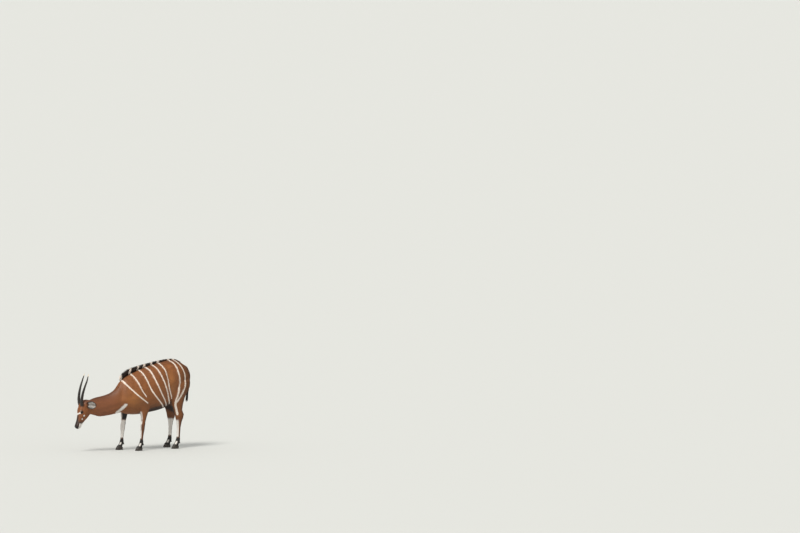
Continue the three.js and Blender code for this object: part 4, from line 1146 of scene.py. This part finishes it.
rng = np.random.default_rng(21)
x, y, z = in_body(skin_points).T
on_ridge = (np.abs(y) < 0.02) & (x > -0.26) & (z > 0.9)
steps = np.arange(-0.25, 0.84, 0.02)
tops = np.array([z[on_ridge & (np.abs(x - step) < 0.014)].max() for step in steps])
x = CREST_FROM + (CREST_TO - CREST_FROM) * (np.arange(CREST_LOCKS) + rng.random(CREST_LOCKS)) / CREST_LOCKS
share = (x - CREST_FROM) / (CREST_TO - CREST_FROM)
z = np.interp(x, steps, tops)
slope = (np.interp(x + 0.01, steps, tops) - np.interp(x - 0.01, steps, tops)) / 0.02
row = rng.normal(0, 0.45, CREST_LOCKS).clip(-1, 1)
along = unit(np.stack([np.ones_like(x), 0 * x, slope], axis=1))
up = np.stack([-along[:, 2], 0 * x, along[:, 0]], axis=1)
lean = 0.50 + 1.3 * fade(share, 0.55, 1) + rng.normal(0, 0.10, CREST_LOCKS)
lie = up + along * lean[:, None]
lie[:, 1] += row * 0.22 + rng.normal(0, 0.04, CREST_LOCKS)
lie = unit(lie)
height = np.interp(share, *CREST_HEIGHT) * rng.uniform(0.72, 1.04, CREST_LOCKS)
across = unit(square_to(along, lie))
across = unit(across + np.array([0, 1, 0]) * rng.normal(0, 0.5, CREST_LOCKS)[:, None])
crossing = np.min([np.abs(x - stripe[0][0] - 0.004) for stripe in STRIPES], axis=0)
cream = 1 - fade(crossing + rng.normal(0, 0.003, CREST_LOCKS), 0.014, 0.021)
hair = tint(all_of(BLACK, CREST_LOCKS), DARK_BROWN, 0.25 + 0.5 * fade(share, 0.55, 0.9))
hair = tint(hair, CREAM, cream)
roots = np.stack([x, row * CREST_ROW, z - 0.003 - np.abs(row * CREST_ROW) * 0.12], axis=1) + ORIGIN
charts = np.stack([0.01 + 0.98 * share, 0.5 + row * 0.4], axis=1)
stiff_hair = hair_material("stiff hair of crest and tail", 0.55, 0.4)
# The root of each lock is given darker than its tip: painted shade
locks("crest", roots, lie, along * CREST_BEND, across, height[:, None],
      rng.uniform(*CREST_WIDTH, (CREST_LOCKS, 1)), CREST_THICKNESS, hair * 0.8, hair, charts,
      stiff_hair)

# Tail tuft
# Long dark hair that grows all round the lower part of the dock, blackest towards its end. It hangs below
# the dock in a loose point.
TAIL_LOCKS = 620
TAIL_HAIR_FROM, TAIL_HAIR_TO = 0.60, 0.995
TAIL_HAIR_LENGTH = 0.128
TAIL_WIDTH, TAIL_THICKNESS = (0.004, 0.0075), 0.0022
TAIL_BEND = 0.11

rng = np.random.default_rng(31)
share = TAIL_HAIR_FROM + (TAIL_HAIR_TO - TAIL_HAIR_FROM) * np.sort(rng.random(TAIL_LOCKS)) ** 0.8
inner = (share - TAIL_HAIR_FROM) / (1 - TAIL_HAIR_FROM)
tail_steps = np.arange(len(tail_line))
at, line = [np.stack([np.interp(share * tail_steps[-1], tail_steps, rows[:, i]) for i in range(3)], axis=1)
            for rows in (tail_line, unit(np.gradient(tail_line, axis=0)))]
angle = rng.uniform(0, 2 * math.pi, TAIL_LOCKS)
outwards = unit(square_to(np.stack([np.cos(angle), np.sin(angle), 0 * angle], axis=1), line))
lie = unit(line + outwards * rng.uniform(0.10, 0.24, (TAIL_LOCKS, 1)))
hair = tint(all_of(DARK_BROWN, TAIL_LOCKS), BLACK, 0.45 + 0.5 * inner)
lengths = TAIL_HAIR_LENGTH * (0.62 + 0.30 * inner) * rng.uniform(0.75, 1.05, TAIL_LOCKS)
charts = np.stack([0.02 + 0.96 * inner, 0.02 + 0.96 * angle / (2 * math.pi)], axis=1)
# The root of each lock is given darker than its tip: painted shade
locks("tail_tuft", at + outwards * 0.005, lie, -outwards * TAIL_BEND, unit(np.cross(lie, outwards)),
      lengths[:, None], rng.uniform(*TAIL_WIDTH, (TAIL_LOCKS, 1)), TAIL_THICKNESS, hair * 0.8, hair, charts,
      stiff_hair)

# Ear fringes
# Long pale hair that grows from the inner edges of each ear. It lies across the hollow of the ear and
# leans towards its tip.
FRINGE_LOCKS = 900
FRINGE_LENGTH = 0.030
FRINGE_WIDTH, FRINGE_THICKNESS = (0.0012, 0.0022), 0.0007

rng = np.random.default_rng(41)
for name, side in SIDES:
    share, across_ear, facing, axis = ear_places(middles, side)
    edge = np.abs(across_ear) / np.interp(share, *EAR_HALF)
    inside = (skin_normals[skin_triangles].mean(axis=1) @ facing) > 0.2
    here = (regions == "ears") & (in_head(middles)[:, 1] * side > 0) & inside
    here &= (edge > 0.35) & (edge < 0.80) & (share > 0.24) & (share < 0.84)
    roots, directions = scattered(here, areas, FRINGE_LOCKS, rng)
    along_ear, out_ear, _, _ = ear_places(roots, side)
    to_middle = -np.sign(out_ear)[:, None] * np.cross(axis, facing)
    lie = axis * 0.75 + to_middle * rng.uniform(0.3, 0.8, (FRINGE_LOCKS, 1)) + directions * 0.30
    lie = unit(lie)
    lengths = FRINGE_LENGTH * rng.uniform(0.6, 1.15, FRINGE_LOCKS) * (1 - 0.45 * fade(along_ear, 0.5, 0.85))
    hair = all_of(WHITE, FRINGE_LOCKS) * rng.uniform(0.75, 1.0, (FRINGE_LOCKS, 1))
    # The root of each lock is given darker than its tip: painted shade
    locks(f"ear_fringe_{name}", roots, lie, axis * 0.15, unit(np.cross(lie, facing)), lengths[:, None],
          rng.uniform(*FRINGE_WIDTH, (FRINGE_LOCKS, 1)), FRINGE_THICKNESS, hair * 0.85, hair,
          chart(roots, directions, "ears"), coat_hair)

# Eyes
# Dark wet eyeballs set deep behind the lids, with a brown iris and a long pupil that stays level. Short black
# lashes stand along the edge of each upper lid.
EYE_SEGMENTS = 48
CORNEA_FROM, CORNEA_RISE = 0.72, 0.0012  # where the clear front of the eye begins, and how far it bulges
IRIS = 0.0158
PUPIL = (0.0085, 0.0042)
IRIS_MIDDLE, IRIS_EDGE = (0.036, 0.015, 0.006), (0.016, 0.008, 0.005)
LASHES = 54
LASH_LENGTH = 0.0095
LASH_WIDTH, LASH_THICKNESS = 0.0007, 0.0006
LASH_FROM, LASH_TO = -0.86, 0.80  # the stretch of the lid that has lashes, from one corner to the other

eye_surface = Surface("wet eye", Roughness=0.10, Specular_IOR_Level=0.30, Coat_Weight=0.30,
                      Coat_Roughness=0.02)
pupil, iris = [eye_surface.node("VectorMath", "Value", {0: eye_surface.place(Scale=(1 / wide, 1 / high, 0))},
                                operation="LENGTH") for wide, high in (PUPIL, (IRIS, IRIS))]
threads = eye_surface.node("TexNoise", "Fac", {"Vector": eye_surface.place(), "Scale": 900, "Detail": 3})
amount = eye_surface.combined("MULTIPLY", eye_surface.changed(pupil, 0.92, 1.08, 0, 1),
                              eye_surface.changed(threads, 0, 1, 0.6, 1.5))
eye_surface.colour(eye_surface.two_tones(iris, 0.35, IRIS_MIDDLE, 0.97, IRIS_EDGE), amount)
for name, side in SIDES:
    bm = bmesh.new()
    bmesh.ops.create_uvsphere(bm, u_segments=EYE_SEGMENTS, v_segments=EYE_SEGMENTS // 2, radius=EYE_RADIUS)
    for vert in bm.verts:
        vert.co.z += CORNEA_RISE * max(0.0, (vert.co.z / EYE_RADIUS - CORNEA_FROM) / (1 - CORNEA_FROM))
    mesh = bpy.data.meshes.new(f"eyeball_{name}")
    bm.to_mesh(mesh)
    bm.free()
    mesh.shade_smooth()
    mesh.materials.append(eye_surface.material)
    slit, upward, outward = eye_axes(side)
    level = Vector(outward).cross(Vector((0, 0, 1))).normalized()
    turn = np.array([level, Vector(outward).cross(level), outward]).T
    at = Matrix([[*turn[i], eye_at[name][i]] for i in range(3)] + [[0, 0, 0, 1]])
    eye = placed(f"eyeball_{name}", mesh, at)
    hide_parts(f"eye_{name}")

    rng = np.random.default_rng(51 if side > 0 else 52)
    bow = np.linspace(LASH_FROM, LASH_TO, LASHES) + rng.normal(0, 0.008, LASHES)
    raised = LID_HALF["upper"] * (1 - np.abs(bow) ** LID_BOW) + 0.03 + rng.uniform(0, 0.05, LASHES)
    ways = np.stack([np.tan(bow * LID_HALF["corner"]), np.tan(raised), np.ones(LASHES)], axis=1)
    ways = unit(ways @ np.array([slit, upward, outward]))
    roots = eye_at[name] + ways * (EYE_RADIUS + LID_THICK - 0.0012)
    lie = unit(ways * 0.9 + upward * 0.12 - slit * 0.15 + rng.normal(0, 0.06, (LASHES, 3)))
    black = all_of(BLACK, LASHES)
    charts = np.stack([0.1 + 0.8 * np.arange(LASHES) / LASHES,
                       np.full(LASHES, 0.3 + 0.4 * (side > 0))], axis=1)
    locks(f"lashes_{name}", roots, lie, all_of(upward * 0.25, LASHES), unit(np.cross(lie, upward)),
          LASH_LENGTH * rng.uniform(0.7, 1.1, (LASHES, 1)), np.full((LASHES, 1), LASH_WIDTH), LASH_THICKNESS,
          black, black, charts, stiff_hair)

# Horns
# Grey-black keratin over a core of bone, set on the forehead, with close growth rings near the base, a keel
# that winds once round and smooth worn ivory tips.
HORN_GRAIN, HORN_SOFTNESS = 0.002, 0.002
HORN_BLACK, HORN_BROWN, HORN_IVORY = (0.020, 0.016, 0.014), (0.070, 0.054, 0.042), (0.72, 0.60, 0.42)
RING_TURNS = 170  # radians of rings over the whole length
RING_RISE, HORN_WAVE = 0.0004, 0.0005
IVORY_FROM, IVORY_FULL = 0.915, 0.95


def refined(name, nodes, grain, width, material, thinner=lambda room: 0):
    """A smooth horn or hooves in the place of nodes, thinner by so much at each place of the room."""
    points, triangles = of_nodes(*nodes)
    low, high = points.min(axis=0) - ORIGIN, points.max(axis=0) - ORIGIN
    room = Room(low - 5 * grain, high + 5 * grain, grain)
    values = room.softened(room.distance(points, triangles, 4 * grain + 3 * width), width)
    values = values + np.asarray(thinner(room), np.float32)
    piece = placed(name, triangle_mesh(name, *room.surface(values, merge=0.002)))
    piece.data.materials.append(material)
    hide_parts(*nodes)
    return piece.data


horn_surface = Surface("ringed horn", Roughness=0.36, Specular_IOR_Level=0.32)
drawn_out = horn_surface.place(Scale=(1, 1, 0.12))
fibres = horn_surface.node("TexNoise", "Fac", {"Vector": drawn_out, "Scale": 330, "Detail": 4})
horn_surface.colour(horn_surface.stored("hair_colour", "Color"),
                    horn_surface.changed(fibres, 0.25, 0.75, 0.62, 1.35))
horn_surface.bumps(fibres, 0.5, 0.0008)
for side in ("left", "right"):
    mesh = refined(f"horn_sheath_{side}", [f"horn_{side}"], HORN_GRAIN, HORN_SOFTNESS, horn_surface.material)
    points, normals, triangles = numbers_of(mesh)
    share = (points[:, 2] - points[:, 2].min()) / np.ptp(points[:, 2])
    places = in_body(points)
    rings = np.sin(share * RING_TURNS + 1.6 * mottle(places, 0.035)) * (1 - fade(share, 0.14, 0.42))
    wave = RING_RISE * rings * (0.7 + 0.5 * mottle(places, 0.03)) + HORN_WAVE * mottle(places, 0.02)
    points = points + normals * (wave * fade(share, 0.01, 0.05))[:, None]
    mesh.vertices.foreach_set("co", points.astype(np.float32).ravel())
    colours = tint(all_of(HORN_BLACK, len(points)), HORN_BROWN,
                   0.30 * (rings < -0.2) + 0.20 * fade(share, 0.3, 0.8))
    ivory = fade(share + 0.01 * mottle(places, 0.01), IVORY_FROM, IVORY_FULL)
    put_colours(mesh, tint(colours, HORN_IVORY, ivory))

# Hooves
# Two black claws and two dewclaws on each foot, of dull horn with fine rings that follow the coronet. They
# grow round the last bones of the toes and are hidden by hair at the top.
HOOF_GRAIN, HOOF_SOFTNESS = 0.002, 0.0020
TOP_BEVEL = 0.0022  # how much thinner the wall of a claw is at the coronet
DEWCLAW_BEVEL = 0.0065  # how much thinner a dewclaw is at its top, under the hair
HOOF_BLACK, HOOF_BROWN = (0.012, 0.010, 0.009), (0.060, 0.046, 0.036)


def worn(room):
    wall = TOP_BEVEL * within(room.z, 0.026, 0.056, 0.064, 0.069)
    return wall + DEWCLAW_BEVEL * fade(room.z, 0.076, 0.094)


hoof_surface = Surface("dull hoof horn", Roughness=0.40, Specular_IOR_Level=0.45)
tilted = hoof_surface.place(Rotation=(0, CORONET_TILT, 0))
rings = hoof_surface.node("TexWave", "Fac", {"Vector": tilted, "Scale": 60, "Distortion": 2.0, "Detail": 2,
                                             "Detail Scale": 1.0}, bands_direction="Z")
wear = hoof_surface.node("TexNoise", "Fac", {"Vector": hoof_surface.place(), "Scale": 120, "Detail": 5})
hoof_surface.link(hoof_surface.two_tones(wear, 0.35, HOOF_BLACK, 0.75, HOOF_BROWN), "Base Color")
hoof_surface.bumps(rings, 0.25, 0.0005)
for leg in leg_names:
    nodes = [f"{leg}_{claw}_{place}" for claw in ("claw", "dewclaw") for place in ("outer", "inner")]
    refined(f"hooves_{leg}", nodes, HOOF_GRAIN, HOOF_SOFTNESS, hoof_surface.material, worn)

# Floor and light
# A plain pale floor without an edge in sight, as bright as the air behind it. One broad soft light comes from
# above and ahead of her left side.
FLOOR_SIZE = 2400
FLOOR_COLOUR, FLOOR_ROUGHNESS = (0.545, 0.555, 0.54), 0.9
AIR_COLOUR, AIR_STRENGTH = (1.0, 1.0, 0.97), 0.78
LIGHT_COLOUR, LIGHT_STRENGTH = (1.0, 0.97, 0.92), 2.6
LIGHT_BREADTH = math.radians(22)
LIGHT_TURN = (math.radians(38), 0, math.radians(-62))

half = FLOOR_SIZE / 2
floor_mesh = bpy.data.meshes.new("floor")
floor_mesh.from_pydata([(-half, -half, 0), (half, -half, 0), (half, half, 0), (-half, half, 0)], [],
                       [(0, 1, 2, 3)])
floor_surface = Surface("pale floor", Base_Color=(*FLOOR_COLOUR, 1), Roughness=FLOOR_ROUGHNESS)
floor_mesh.materials.append(floor_surface.material)
floor = bpy.data.objects.new("floor", floor_mesh)
bpy.context.collection.objects.link(floor)

world = bpy.data.worlds.new("studio")
world.use_nodes = True
world.node_tree.nodes["Background"].inputs["Color"].default_value = (*AIR_COLOUR, 1)
world.node_tree.nodes["Background"].inputs["Strength"].default_value = AIR_STRENGTH
bpy.context.scene.world = world
light = bpy.data.objects.new("soft light", bpy.data.lights.new("soft light", "SUN"))
light.data.energy = LIGHT_STRENGTH
light.data.angle = LIGHT_BREADTH
light.data.color = LIGHT_COLOUR
light.rotation_euler = LIGHT_TURN
bpy.context.collection.objects.link(light)

# Camera
# Far off with a long lens, low over the floor and ahead of her left side. She stands small at the left of
# the frame.
FRAME_SIZE = (800, 533)
LENS, SENSOR = 300, 36
CLIP_END = 2000
WITHERS_PIXEL = (132.0, 371.5)
WITHERS_HEIGHT = 1.08
AZIMUTH, ELEVATION = math.radians(-33), math.radians(4)
PIXELS_PER_METRE = 72.6

pixels = LENS / SENSOR * FRAME_SIZE[0]
withers = Vector(ORIGIN) + Vector((0, 0, WITHERS_HEIGHT))
line_back = Vector((math.sin(AZIMUTH) * math.cos(ELEVATION), -math.cos(AZIMUTH) * math.cos(ELEVATION),
                    math.sin(ELEVATION)))
across = math.atan((WITHERS_PIXEL[0] - FRAME_SIZE[0] / 2) / pixels)
below = math.atan((WITHERS_PIXEL[1] - FRAME_SIZE[1] / 2) / pixels * math.cos(across))
camera = bpy.data.objects.new("camera", bpy.data.cameras.new("camera"))
camera.data.lens = LENS
camera.data.sensor_width = SENSOR
camera.data.clip_end = CLIP_END
camera.location = withers + line_back * (pixels / PIXELS_PER_METRE)
camera.rotation_mode = "XYZ"
camera.rotation_euler = (math.pi / 2 - ELEVATION + below, 0, AZIMUTH + across)
bpy.context.collection.objects.link(camera)
bpy.context.scene.camera = camera
bpy.context.scene.view_settings.view_transform = "Standard"
